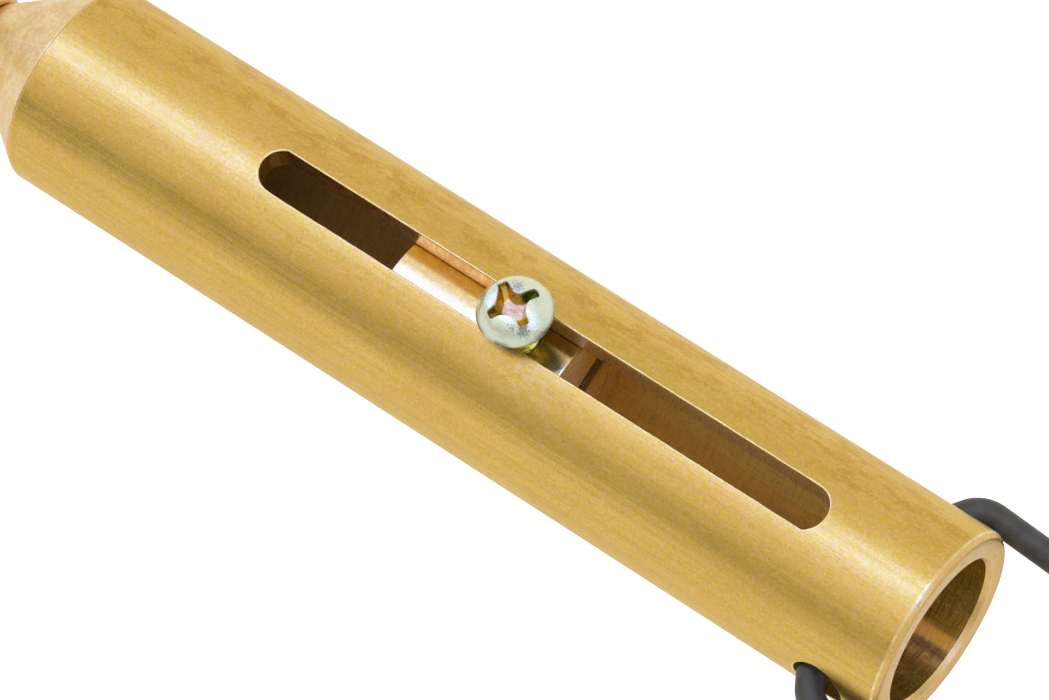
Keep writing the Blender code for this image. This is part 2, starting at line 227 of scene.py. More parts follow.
def outline_runs(corners, step=0.8, arc=5):
    """A closed outline as runs of (points, normals, tag), straight parts and fillets apart.

    A corner is (x, radius) or (x, radius, fillet). The tag is ("arc", corner number) or
    ("line", number of the corner it starts from). A side that lies on the axis is left out.
    step is the longest piece of a straight part, arc the pieces in a quarter turn.
    """
    places = [np.array(corner[:2], float) for corner in corners]
    count = len(places)
    area = 0
    for here, after in zip(places, places[1:] + places[:1]):
        area += here[0] * after[1] - after[0] * here[1]
    side = 1.0 if area > 0 else -1.0

    def out(direction):
        return np.array([direction[1], -direction[0]]) * side

    enter, leave, arcs = [], [], []
    for i in range(count):
        before, here, after = places[i - 1], places[i], places[(i + 1) % count]
        length_in = np.linalg.norm(here - before)
        length_out = np.linalg.norm(after - here)
        way_in = (here - before) / max(length_in, 1e-12)
        way_out = (after - here) / max(length_out, 1e-12)
        radius = corners[i][2] if len(corners[i]) > 2 else 0.0
        angle = math.acos(max(-1.0, min(1.0, float(way_in @ way_out))))
        if radius <= 0 or angle < 1e-3:
            enter.append(here)
            leave.append(here)
            arcs.append(None)
            continue
        trim = min(radius * math.tan(angle / 2), 0.49 * length_in, 0.49 * length_out)
        radius = trim / math.tan(angle / 2)
        start, end = here - way_in * trim, here + way_out * trim
        turn = math.copysign(1.0, way_in[0] * way_out[1] - way_in[1] * way_out[0])
        centre = start + np.array([-way_in[1], way_in[0]]) * turn * radius
        steps = max(2, int(math.ceil(arc * angle / (math.pi / 2))))
        angles = [angle * k / steps * turn for k in range(steps + 1)]
        points = [centre + rotated(start - centre, part) for part in angles]
        normals = [out(rotated(way_in, part)) for part in angles]
        points[0], points[-1] = start, end
        enter.append(start)
        leave.append(end)
        arcs.append((np.array(points), np.array(normals)))

    runs = []
    for i in range(count):
        if arcs[i] is not None:
            runs.append((*arcs[i], ("arc", i)))
        start, end = leave[i], enter[(i + 1) % count]
        length = np.linalg.norm(end - start)
        if length <= 1e-7 or start[1] == end[1] == 0:
            continue
        steps = max(1, int(math.ceil(length / step)))
        along = np.linspace(0, 1, steps + 1)[:, None]
        normals = np.repeat(out((end - start) / length)[None], steps + 1, 0)
        runs.append((start + (end - start) * along, normals, ("line", i)))
    return runs


def ring_angles(around):
    """Angles around the tube, from straight up towards +Y."""
    return -math.pi + math.tau * np.arange(around) / around


def spin(skin, runs, skip=(), look=0, looks=None, upright_at=None, around=AROUND):
    """Turn runs about the tube's axis, or about a vertical axis at x = upright_at."""
    theta = ring_angles(around)
    sin, cos, one = np.sin(theta), np.cos(theta), np.ones((1, around))
    for points, normals, tag in runs:
        if tag in skip:
            continue
        kind = looks.get(tag, look) if looks else look
        along, radius = points[:, :1], points[:, 1:]
        normal_along, normal_out = normals[:, :1], normals[:, 1:]
        if upright_at is None:
            solid = np.stack([along * one, radius * sin, radius * cos], -1)
            normal = np.stack([normal_along * one, normal_out * sin, normal_out * cos], -1)
        else:
            solid = np.stack([upright_at + radius * sin, radius * cos, along * one], -1)
            normal = np.stack([normal_out * sin, normal_out * cos, normal_along * one], -1)
        skin.grid(solid, normal, look=kind)


def stations(runs, tag, pitch):
    """Even places along one straight run, in rising x."""
    points = next(points for points, _, found in runs if found == tag)
    start, end = sorted((points[0][0], points[-1][0]))
    return np.linspace(start, end, max(2, int(round(abs(end - start) / pitch)) + 1))


def inside(polygon, points):
    """Which points lie in a closed polygon."""
    x, y = points[:, 0], points[:, 1]
    hit = np.zeros(len(points), bool)
    for start, end in zip(polygon, np.roll(polygon, -1, axis=0)):
        cross = (start[1] > y) != (end[1] > y)
        with np.errstate(divide="ignore", invalid="ignore"):
            at = (end[0] - start[0]) * (y - start[1]) / (end[1] - start[1]) + start[0]
        hit ^= cross & (x < at)
    return hit


def outline_distance(polygon, points):
    """Distance from each point to a closed polygon's outline."""
    nearest = np.full(len(points), np.inf)
    for start, end in zip(polygon, np.roll(polygon, -1, axis=0)):
        side = end - start
        along = np.clip(((points - start) @ side) / max(side @ side, 1e-12), 0, 1)
        away = np.linalg.norm(points - (start + along[:, None] * side), axis=1)
        nearest = np.minimum(nearest, away)
    return nearest


def wall_with_openings(skin, radius, stations_x, rims, side, look=0, around=AROUND):
    """A cylinder's wall with openings.

    rims are closed rings of 3-D points on it. side is 1 for a wall that faces out, -1 for in.
    """
    theta = -math.pi + math.tau * np.arange(around + 1) / around
    unrolled = [
        np.stack([rim[:, 0], np.arctan2(rim[:, 1], rim[:, 2]) * radius], -1) for rim in rims
    ]
    covered = np.zeros((len(stations_x) - 1, around), bool)
    zones = []
    for flat in unrolled:
        i0 = max(0, np.searchsorted(stations_x, flat[:, 0].min()) - 3)
        i1 = min(len(stations_x) - 1, np.searchsorted(stations_x, flat[:, 0].max()) + 2)
        j0 = np.searchsorted(theta * radius, flat[:, 1].min()) - 4
        j1 = np.searchsorted(theta * radius, flat[:, 1].max()) + 3
        covered[i0:i1, j0:j1] = True
        zones.append((i0, i1, j0, j1))

    # the plain grid away from the openings
    sin, cos = np.sin(theta[:-1]), np.cos(theta[:-1])
    one = np.ones((len(stations_x), around))
    points = [stations_x[:, None] * one, radius * sin[None] * one, radius * cos[None] * one]
    normals = [0 * one, side * sin[None] * one, side * cos[None] * one]
    skin.grid(np.stack(points, -1), np.stack(normals, -1), look=look, mask=~covered)

    # triangles between the grid and each rim
    for (i0, i1, j0, j1), rim, polygon in zip(zones, rims, unrolled):
        cells = [(i, j) for i in range(i0, i1 + 1) for j in range(j0, j1 + 1)]
        flat = np.array([[stations_x[i], theta[j] * radius] for i, j in cells])
        border = np.array([i in (i0, i1) or j in (j0, j1) for i, j in cells])
        gap = 0.30 * (theta[1] - theta[0]) * radius
        blocked = inside(polygon, flat) | (outline_distance(polygon, flat) < gap)
        keep = border | ~blocked
        kept = [cell for cell, ok in zip(cells, keep) if ok]
        full = np.array([
            [stations_x[i], radius * math.sin(theta[j]), radius * math.cos(theta[j])]
            for i, j in kept
        ] + list(rim))
        flat = np.concatenate([flat[keep], polygon])
        number = {cell: k for k, cell in enumerate(kept)}
        ring = (
            [(i, j0) for i in range(i0, i1)] + [(i1, j) for j in range(j0, j1)]
            + [(i, j1) for i in range(i1, i0, -1)] + [(i0, j) for j in range(j1, j0, -1)]
        )
        ring = [number[cell] for cell in ring]
        edges = list(zip(ring, ring[1:] + ring[:1]))
        base = len(kept)
        edges += [(base + k, base + (k + 1) % len(rim)) for k in range(len(rim))]
        vertices = [Vector(place) for place in flat.tolist()]
        filled = delaunay_2d_cdt(vertices, edges, [], 0, 1e-7, True)
        where = np.array([[vertex[0], vertex[1]] for vertex in filled[0]])
        solid = np.array([
            full[source[0]] if source
            else [at[0], radius * math.sin(at[1] / radius), radius * math.cos(at[1] / radius)]
            for source, at in zip(filled[3], where)
        ])
        triangles = np.array([face for face in filled[2] if len(face) == 3])
        triangles = triangles[~inside(polygon, where[triangles].mean(axis=1))]
        normal = [0 * solid[:, 0], side * solid[:, 1] / radius, side * solid[:, 2] / radius]
        skin.patch(solid, np.stack(normal, -1), triangles, look)


def facing_up(points):
    return points


def facing_minus_y(points):
    return np.stack([points[:, 0], -points[:, 2], points[:, 1]], -1)


def facing_plus_y(points):
    return np.stack([points[:, 0], points[:, 2], points[:, 1]], -1)


def opening(skin, plan, facing, outer, inner, edge_out, edge_in, look, edge_look):
    """The wall of an opening cut straight through a pipe's wall, its two edges rounded.

    plan is the anticlockwise outline seen from outside and facing turns it to its side of the
    pipe. Returns the rings it leaves in the outer and inner wall.
    """
    tangent = np.roll(plan, -1, axis=0) - np.roll(plan, 1, axis=0)
    outward = np.stack([tangent[:, 1], -tangent[:, 0]], -1)
    outward = outward / np.linalg.norm(outward, axis=1, keepdims=True)
    edge_out = np.broadcast_to(np.asarray(edge_out, float), (len(plan),))
    edge_in = np.broadcast_to(np.asarray(edge_in, float), (len(plan),))

    def row(edge, radius, angle, sign):
        spot = plan + (edge * (1 - math.sin(angle)))[:, None] * outward
        height = np.sqrt(np.maximum(radius**2 - spot[:, 1] ** 2, 0))
        radial = np.stack([0 * height, spot[:, 1] / radius, height / radius], -1) * sign
        wall = np.stack([-outward[:, 0], -outward[:, 1], 0 * height], -1)
        sunk = height - edge * (1 - math.cos(angle)) * sign
        normal = math.cos(angle) * radial + math.sin(angle) * wall
        return np.stack([spot[:, 0], spot[:, 1], sunk], -1), normal

    quarter = math.pi / 2
    top = [row(edge_out, outer, angle, 1) for angle in np.linspace(0, quarter, 6)]
    low = [row(edge_in, inner, angle, -1) for angle in np.linspace(quarter, 0, 6)]
    (start, normal), (end, _) = top[-1], low[0]
    steps = max(2, int(math.ceil((outer - inner) / 0.3)))
    middle = [(start + (end - start) * k / steps, normal) for k in range(steps + 1)]
    for rows, kind in ((top, edge_look), (middle, look), (low, look)):
        points = np.array([facing(points) for points, _ in rows])
        normals = np.array([facing(normals) for _, normals in rows])
        skin.grid(points, normals, look=kind)
    return facing(top[0][0]), facing(low[-1][0])


def circle_plan(x, radius, steps):
    angle = math.tau * np.arange(steps) / steps
    return np.stack([x + radius * np.cos(angle), radius * np.sin(angle)], -1)


def slot_plan():
    """The slot's outline seen from above, anticlockwise from its end nearest the open end."""
    half = SLOT_W / 2
    end_x = SLOT_END - SLOT_END_R
    start_x = SLOT_START + SLOT_START_R

    def reach(y, radius):
        """Angles at which an end's arc meets the two straight sides."""
        low = math.asin(max(-1, (-half - y) / radius))
        return low, math.asin(min(1, (half - y) / radius))

    end_low, end_high = reach(SLOT_END_Y, SLOT_END_R)
    start_low, start_high = reach(SLOT_START_Y, SLOT_START_R)
    ends = (
        (end_x, SLOT_END_Y, SLOT_END_R, end_low, end_high, start_x, half),
        (start_x, SLOT_START_Y, SLOT_START_R, math.pi - start_high, math.pi - start_low,
         end_x, -half),
    )
    arc_steps, side_steps = 56, 150
    plan = []
    for x, y, radius, first, last, side_to, side_y in ends:
        for k in range(arc_steps + 1):
            angle = first + (last - first) * k / arc_steps
            plan.append((x + radius * math.cos(angle), y + radius * math.sin(angle)))
        side_from = plan[-1][0]
        for k in range(1, side_steps):
            plan.append((side_from + (side_to - side_from) * k / side_steps, side_y))
    return np.array(plan)


# ---------------------------------------------------------------- node materials
class Graph:
    """Short ways to add and link nodes in a node tree."""

    def __init__(self, tree):
        self.tree = tree

    def node(self, kind, **settings):
        made = self.tree.nodes.new(kind)
        for key, value in settings.items():
            setattr(made, key, value)
        return made

    def link(self, source, socket):
        """Feed a socket from another socket or with a value."""
        if isinstance(source, bpy.types.NodeSocket):
            self.tree.links.new(source, socket)
        elif isinstance(source, tuple) and socket.type == "RGBA":
            socket.default_value = (*source, 1.0)
        else:
            socket.default_value = source

    def vector_math(self, operation, *values, output="Vector"):
        made = self.node("ShaderNodeVectorMath", operation=operation)
        for value, socket in zip(values, made.inputs):
            self.link(value, socket)
        return made.outputs[output]


class Shade(Graph):
    """A Principled material in the making. Its patterns are in mm in the tube's own frame.

    paint and tint lay a tone over the colour so far; bump adds to the normal so far.
    """

    def __init__(self, name, base):
        self.material = bpy.data.materials.new(name)
        self.material.use_nodes = True
        super().__init__(self.material.node_tree)
        self.surface = self.tree.nodes["Principled BSDF"]
        place = self.node("ShaderNodeTexCoord").outputs["Object"]
        to_mm = (1000, 1000, 1000)
        self.where = self.vector_math("MULTIPLY_ADD", place, to_mm, tuple(-ORIGIN))
        self.colour = base
        self.normal = None

    def split(self, vector):
        made = self.node("ShaderNodeSeparateXYZ")
        self.link(vector, made.inputs[0])
        return made.outputs

    @cached_property
    def axes(self):
        return self.split(self.where)

    x = property(lambda self: self.axes["X"])
    y = property(lambda self: self.axes["Y"])
    z = property(lambda self: self.axes["Z"])

    def math(self, operation, *values):
        made = self.node("ShaderNodeMath", operation=operation)
        for value, socket in zip((*values, 0.0, 0.0), made.inputs):
            self.link(value, socket)
        return made.outputs[0]

    def mul(self, result, *factors):
        for factor in factors:
            result = self.math("MULTIPLY", result, factor)
        return result

    def add(self, first, second):
        return self.math("ADD", first, second)

    def invert(self, value):
        return self.math("SUBTRACT", 1.0, value)

    def vector(self, *values):
        made = self.node("ShaderNodeCombineXYZ")
        for value, socket in zip(values, made.inputs):
            self.link(value, socket)
        return made.outputs[0]

    def by_axis(self, along, across):
        """The place with x scaled by one factor, y and z by another."""
        x, y, z = self.mul(self.x, along), self.mul(self.y, across), self.mul(self.z, across)
        return self.vector(x, y, z)

    def stretch(self, *factors):
        return self.vector_math("MULTIPLY", self.where, factors)

    def noise(self, at=None, stretch=None, scale=1.0, detail=3.0, rough=0.6, warp=0.0):
        if stretch:
            at = self.stretch(*stretch)
        made = self.node("ShaderNodeTexNoise")
        self.link(self.where if at is None else at, made.inputs["Vector"])
        settings = (
            ("Scale", scale), ("Detail", detail), ("Roughness", rough), ("Distortion", warp),
        )
        for key, value in settings:
            made.inputs[key].default_value = value
        return made.outputs["Fac"]

    def ramp(self, value, over=(0.3, 0.7), to=(0.0, 1.0)):
        """A smooth step over a range; the plain range is the one noise mostly fills."""
        made = self.node("ShaderNodeMapRange", interpolation_type="SMOOTHSTEP")
        self.link(value, made.inputs["Value"])
        for key, limit in zip(("From Min", "From Max", "To Min", "To Max"), (*over, *to)):
            made.inputs[key].default_value = limit
        return made.outputs["Result"]

    def window(self, value, rise, fall):
        """1 between two soft edges, 0 outside them."""
        return self.mul(self.ramp(value, over=rise), self.ramp(value, over=fall))

    def blend(self, amount, first, second):
        made = self.node("ShaderNodeMix", data_type="RGBA")
        self.link(amount, made.inputs[0])
        self.link(first, made.inputs[6])
        self.link(second, made.inputs[7])
        return made.outputs[2]

    def paint(self, mask, tone, amount=None):
        if amount is not None:
            mask = self.mul(mask, amount)
        self.colour = self.blend(mask, self.colour, tone)

    def tint(self, value, over, tone, most=1.0):
        self.paint(self.ramp(value, over=over, to=(0.0, most)), tone)

    def radius(self, first, second):
        squares = self.add(self.mul(first, first), self.mul(second, second))
        return self.math("SQRT", squares)

    def angle(self):
        """Angle around the tube, from straight up towards +Y."""
        return self.math("ARCTAN2", self.y, self.z)

    def bump(self, height, strength, depth):
        made = self.node("ShaderNodeBump")
        made.inputs["Strength"].default_value = strength
        made.inputs["Distance"].default_value = depth / 1000
        self.link(height, made.inputs["Height"])
        if self.normal is not None:
            self.link(self.normal, made.inputs["Normal"])
        self.normal = made.outputs[0]

    def finish(self, rough, metallic=1.0, **inputs):
        self.link(self.colour, self.surface.inputs["Base Color"])
        self.link(rough, self.surface.inputs["Roughness"])
        self.link(self.normal, self.surface.inputs["Normal"])
        self.link(metallic, self.surface.inputs["Metallic"])
        for key, value in inputs.items():
            self.link(value, self.surface.inputs[key.replace("_", " ")])
        return self.material


GOLD = (0.745, 0.475, 0.100)
WARM = (0.67, 0.385, 0.075)
OLIVE = (0.54, 0.40, 0.055)


def tarnish(mat, dark, pale, dark_tone=(0.46, 0.27, 0.03), pale_tone=(0.93, 0.66, 0.22), hue=1.0):
    """Fine uneven tarnish: dark and pale specks, and a grain from pinkish to greenish yellow.

    dark, pale and hue are the strengths. Returns the pattern of the dark specks.
    """
    def speckle(shift, scale, rough):
        return mat.noise(at=mat.vector_math("ADD", mat.where, shift), scale=scale, rough=rough)

    low = mat.noise(scale=4.6, rough=0.75)
    high = speckle(shift=(31.7, 12.9, 47.3), scale=3.9, rough=0.75)
    fine = speckle(shift=(-17.1, 22.3, 9.7), scale=7.5, rough=0.9)
    broad = speckle(shift=(5.3, -8.1, 61.0), scale=2.1, rough=0.7)
    mat.tint(low, over=(0.51, 0.63), most=dark, tone=dark_tone)
    mat.tint(high, over=(0.52, 0.64), most=pale, tone=pale_tone)
    mat.tint(broad, over=(0.52, 0.66), most=0.40 * hue, tone=(0.74, 0.43, 0.17))
    mat.tint(broad, over=(0.48, 0.34), most=0.40 * hue, tone=(0.66, 0.46, 0.03))
    mat.tint(fine, over=(0.51, 0.62), most=0.72 * hue, tone=(0.79, 0.45, 0.29))
    mat.tint(fine, over=(0.49, 0.38), most=0.72 * hue, tone=(0.69, 0.50, 0.004))
    return low


def drawn_brass():
    """The tube's outside: drawn, handled and a little tarnished, with lengthwise lines."""
    mat = Shade("drawn_brass", GOLD)
    turn = mat.angle()
    lines = mat.noise(stretch=(0.030, 2.6, 2.6), detail=6.0, rough=0.68)
    hair = mat.noise(stretch=(0.07, 9.5, 9.5), rough=0.7)
    cloud = mat.noise(stretch=(0.10, 0.30, 0.30), detail=4.0, warp=0.3)
    mottle = mat.noise(stretch=(0.30, 0.75, 0.75), detail=5.0, rough=0.68, warp=0.3)
    mat.tint(cloud, over=(0.36, 0.64), most=0.60, tone=WARM)
    mat.tint(lines, over=(0.50, 0.62), most=0.70, tone=OLIVE)
    mat.tint(lines, over=(0.46, 0.32), most=0.40, tone=(0.84, 0.57, 0.16))
    # brown patches on the side towards +Y
    far_side = mat.window(turn, rise=(0.15, 0.50), fall=(1.30, 0.95))
    patches = mat.ramp(mottle, over=(0.47, 0.58), to=(0.0, 0.95))
    mat.paint(mat.mul(far_side, patches), tone=(0.57, 0.295, 0.028))
    mat.tint(mottle, over=(0.45, 0.31), most=0.55, tone=(0.58, 0.36, 0.05))
    # a bundle of dark drawn lines along the -Y side, strongest towards the cone: drawn lines
    # painted dark where the reflection of the dark strip lies, a painted reflection
    dark_reflection_band = mat.mul(
        mat.window(turn, rise=(-1.02, -0.84), fall=(-0.56, -0.70)),
        mat.ramp(mat.x, over=(46.0, 20.0), to=(0.25, 1.0)),
    )
    dark_line = mat.mul(mat.ramp(hair, over=(0.46, 0.58)), mat.ramp(lines, over=(0.40, 0.54)))
    mat.paint(mat.mul(dark_reflection_band, dark_line), amount=0.66, tone=(0.27, 0.235, 0.04))
    mat.tint(hair, over=(0.54, 0.66), most=0.36, tone=(0.50, 0.33, 0.04))
    # a pale dusty speckle along the -Y side of the top, beside the highlight: partly dust, partly
    # painted sheen
    dust = mat.noise(stretch=(1.0, 2.2, 2.2), detail=5.0, rough=0.8)
    bloom = mat.mul(
        mat.window(turn, rise=(-0.66, -0.40), fall=(0.02, -0.14)),
        mat.ramp(dust, over=(0.40, 0.66)),
    )
    mat.paint(bloom, amount=0.30, tone=(0.90, 0.62, 0.27))
    # a dried mark beside the slot near the screw, drawn out along the tube
    squeeze = 0.45
    centre = (45.0 * squeeze, -3.6, 6.9)
    away = mat.vector_math("DISTANCE", mat.stretch(squeeze, 1.0, 1.0), centre, output="Value")
    ragged = mat.noise(stretch=(0.9, 1.5, 1.5), detail=5.0, rough=0.75)
    mark = mat.mul(mat.ramp(away, over=(2.6, 0.4)), mat.ramp(ragged, over=(0.40, 0.60)))
    mat.paint(mark, amount=0.40, tone=(0.92, 0.72, 0.36))
    low = tarnish(mat, dark=0.46, pale=0.40)
    rough = mat.add(mat.ramp(mottle, to=(0.25, 0.34)), mat.ramp(lines, to=(-0.03, 0.05)))
    dusty_rough = 0.06
    rough = mat.add(rough, mat.mul(mat.add(mark, bloom), dusty_rough))
    line_height, hair_height = 0.5, 0.6
    height = mat.add(mat.mul(lines, line_height), mat.mul(hair, hair_height))
    mat.bump(height, strength=0.32, depth=0.05)
    mat.bump(low, strength=0.16, depth=0.04)
    return mat.finish(rough, Specular_Tint=(1.0, 0.95, 0.70))


def tube_end_marks(mat, run):
    """The tube's end face: browner and handled on its outer half, with a painted shade line
    inside the outer chamfer, bright at the inner edge.
    """
    per_mm, per_radian, slice_at = 3.4, 0.9, 2.0  # how fast the streaks change
    spread = mat.vector(mat.mul(run, per_mm), mat.mul(mat.angle(), per_radian), slice_at)
    mat.tint(mat.noise(at=spread), over=(0.48, 0.60), most=0.55, tone=(0.62, 0.36, 0.06))
    off_top = 0.15  # the paler part is turned this far from the top
    facing = mat.math("ABSOLUTE", mat.add(mat.angle(), off_top))
    upper = mat.mul(mat.ramp(facing, over=(1.35, 0.95)), mat.ramp(run, over=(7.30, 7.10)))
    mat.paint(upper, amount=0.80, tone=(0.76, 0.56, 0.33))
    # a dark ring just inside the outer chamfer: painted shade
    line = mat.window(run, rise=(7.15, 7.45), fall=(7.70, 7.58))
    mat.paint(line, amount=0.60, tone=(0.60, 0.35, 0.07))
    mat.tint(run, over=(7.64, 7.76), most=0.60, tone=(0.82, 0.57, 0.22))
    mat.tint(run, over=(6.45, 6.10), most=0.60, tone=(0.86, 0.64, 0.30))
    worn = mat.ramp(mat.noise(scale=0.75), over=(0.63, 0.68))
    mat.paint(worn, amount=0.75, tone=(0.22, 0.22, 0.10))


def driver_slot_shade(mat, run):
    """The plug's driver slot is painted dark, a painted shade."""
    mat.tint(mat.x, over=(46.00, 45.88), most=0.88, tone=(0.15, 0.08, 0.02))


def turned_brass(name, base, other, pale, pitch, rough, ring=0.30, face_marks=None, metallic=1.0):
    """Lathe-cut brass: fine rings that follow the tool, with a matt bloom.

    With face_marks the rings run around a flat face, without it along the tube.
    """
    mat = Shade(name, base)
    if face_marks:
        run = mat.radius(mat.y, mat.z)
        per_radian = 0.5
        sweep = mat.vector(mat.mul(run, 1.0 / pitch), mat.mul(mat.angle(), per_radian), 0.0)
    else:
        sweep = mat.by_axis(along=1.0 / pitch, across=0.12)
    rings = mat.noise(at=sweep)
    cloud = mat.noise(scale=0.38, detail=4.0, rough=0.65, warp=0.4)
    mat.tint(cloud, over=(0.36, 0.62), tone=other)
    mat.tint(rings, over=(0.42, 0.66), most=0.35, tone=pale)
    if face_marks:
        face_marks(mat, run)
    low = tarnish(mat, dark=0.40, pale=0.34)
    cloud_rough = mat.ramp(cloud, to=(rough - 0.03, rough + 0.05))
    roughness = mat.add(cloud_rough, mat.ramp(rings, to=(-0.03, 0.03)))
    mat.bump(rings, strength=ring, depth=0.03)
    mat.bump(low, strength=0.14, depth=0.04)
    return mat.finish(roughness, metallic=metallic)


def bored_brass():
    """The bore: drawn smooth, with feed rings near the open end, streaks, and painted bands of
    reflection and shade by the open end.
    """
    mat = Shade("bored_brass", (1.00, 0.70, 0.18))
    rings = mat.noise(at=mat.by_axis(along=7.5, across=0.55), detail=4.0, rough=0.7)
    bands = mat.noise(at=mat.by_axis(along=0.03, across=0.9), detail=4.0, rough=0.65)
    bored = mat.ramp(mat.x, over=(60.0, 71.0), to=(0.30, 1.0))
    # angle from straight down, rising towards -Y
    under = mat.math("ARCTAN2", mat.mul(mat.y, -1.0), mat.mul(mat.z, -1.0))
    mat.tint(bands, over=(0.40, 0.60), tone=(1.00, 0.64, 0.13))
    # on the nose's side of the slider the bore is darker
    mat.tint(mat.x, over=(33.0, 30.0), most=0.60, tone=(0.62, 0.42, 0.20))
    # a painted band of light along the bore seen through the slot, where light falls in through
    # it, and a brown low side
    slot_light_band = mat.window(under, rise=(-1.50, -1.30), fall=(-0.68, -0.80))
    slot_light_band = mat.mul(slot_light_band, mat.ramp(mat.x, over=(47.0, 49.0)))
    mat.paint(slot_light_band, amount=0.85, tone=(1.00, 0.84, 0.26))
    low_side = mat.mul(
        mat.ramp(under, over=(-0.66, -0.50)), mat.ramp(mat.x, over=(52.0, 64.0))
    )
    mat.paint(low_side, amount=0.45, tone=(0.44, 0.22, 0.06))
    # painted reflections and shade in bands along the last part of the bore: from and to angle,
    # softness, amount, tone
    mouth = mat.ramp(mat.x, over=(69.0, 72.5))
    reflection_bands = (
        (-3.0, -0.62, 0.15, 0.85, (0.36, 0.22, 0.006)),
        (-0.62, -0.36, 0.08, 0.75, (0.56, 0.31, 0.012)),
        (-0.34, -0.17, 0.04, 0.95, (1.00, 0.46, 0.03)),
        (-0.16, -0.04, 0.04, 0.80, (0.32, 0.14, 0.012)),
        (-0.03, 0.09, 0.04, 0.75, (1.00, 0.64, 0.14)),
        (0.15, 3.0, 0.10, 0.85, (0.22, 0.14, 0.006)),
    )
    masks = []
    for start, end, soft, amount, tone in reflection_bands:
        rise, fall = (start - soft, start + soft), (end + soft, end - soft)
        masks.append(mat.mul(mat.window(under, rise=rise, fall=fall), mouth))
        mat.paint(masks[-1], amount=amount, tone=tone)
    bright = masks[2]
    bright_relief = 0.65  # how much the bright band loses its rings and its metal
    ring_dark = mat.mul(
        bored, mat.ramp(rings, over=(0.50, 0.60)), mat.invert(mat.mul(bright, bright_relief))
    )
    mat.paint(ring_dark, amount=0.62, tone=(0.14, 0.07, 0.012))
    ring_pale = mat.mul(bored, mat.ramp(rings, over=(0.42, 0.30)))
    mat.paint(ring_pale, amount=0.40, tone=(0.95, 0.66, 0.24))
    low = tarnish(
        mat, dark=0.30, pale=0.25, dark_tone=(0.40, 0.20, 0.03), pale_tone=(1.00, 0.70, 0.16),
        hue=0.15,
    )
    mat.bump(mat.mul(rings, bored), strength=0.6, depth=0.05)
    mat.bump(low, strength=0.12, depth=0.03)
    metallic = mat.ramp(mat.x, over=(68.0, 72.0), to=(0.12, 0.80))
    metallic = mat.math("SUBTRACT", metallic, mat.mul(bright, bright_relief))
    return mat.finish(mat.ramp(bands, to=(0.22, 0.34)), metallic=metallic)


def polished_brass():
    """The slider's outside: bright, with light rings from polishing in the lathe."""
    mat = Shade("polished_brass", (0.94, 0.78, 0.44))
    rings = mat.noise(at=mat.by_axis(along=5.0, across=0.2))
    hair = mat.noise(stretch=(0.10, 7.0, 7.0), rough=0.65)
    cloud = mat.noise(scale=0.8, rough=0.55, warp=0.4)
    mat.tint(cloud, over=(0.38, 0.64), tone=(0.87, 0.67, 0.32))
    # darker beyond the screw, a painted shade and reflection of the screw head, lighter again at
    # the very end
    patchy = mat.noise(scale=1.1, detail=4.0, rough=0.7)
    head_shade = mat.mul(
        mat.window(mat.x, rise=(42.6, 43.6), fall=(46.6, 45.4)),
        mat.ramp(patchy, over=(0.34, 0.56), to=(0.35, 1.0)),
    )
    mat.paint(head_shade, amount=0.75, tone=(0.26, 0.17, 0.04))
    mat.tint(rings, over=(0.55, 0.72), most=0.35, tone=(0.58, 0.36, 0.12))
    mat.tint(hair, over=(0.54, 0.68), most=0.35, tone=(0.42, 0.26, 0.07))
    low = tarnish(mat, dark=0.35, pale=0.30)
    mat.bump(rings, strength=0.22, depth=0.02)
    mat.bump(low, strength=0.12, depth=0.03)
    return mat.finish(mat.ramp(cloud, to=(0.15, 0.25)))


def milled_brass():
    """Slot walls and drilled holes: fresh-cut metal with tool marks."""
    mat = Shade("milled_brass", (0.84, 0.52, 0.09))
    marks = mat.noise(stretch=(5.0, 5.0, 0.9))
    cloud = mat.noise(scale=0.7)
    mat.tint(cloud, over=(0.4, 0.62), tone=(0.74, 0.42, 0.055))
    mat.tint(marks, over=(0.50, 0.72), most=0.35, tone=(0.58, 0.34, 0.09))
    # lower down, towards the open end, the walls are painted dark, a painted shade
    slot_wall_shade = mat.mul(mat.ramp(mat.x, over=(41.0, 44.5)), mat.ramp(mat.z, over=(7.75, 7.35)))
    mat.paint(slot_wall_shade, amount=0.55, tone=(0.24, 0.15, 0.07))
    # deeper inside the sleeve the brass is painted darker still: painted shade
    deep_shade = mat.mul(mat.ramp(mat.x, over=(43.5, 44.5)), mat.ramp(mat.z, over=(5.2, 4.8)))
    mat.paint(deep_shade, amount=0.85, tone=(0.20, 0.11, 0.03))
    tarnish(mat, dark=0.12, pale=0.20, hue=0.4)
    mat.bump(marks, strength=0.22, depth=0.03)
    metallic = mat.ramp(mat.x, over=(41.0, 45.0), to=(1.0, 0.45))
    return mat.finish(mat.ramp(marks, to=(0.24, 0.36)), metallic=metallic)


def edge_brass():
    """Worn and deburred edges, a little paler than the faces beside them."""
    mat = Shade("edge_brass", (0.97, 0.80, 0.44))
    nick = mat.noise(scale=1.6, detail=4.0, rough=0.65)
    mat.tint(nick, over=(0.36, 0.62), tone=(0.88, 0.64, 0.24))
    low = tarnish(mat, dark=0.30, pale=0.30)
    mat.bump(low, strength=0.20, depth=0.04)
    return mat.finish(mat.ramp(nick, to=(0.22, 0.34)))


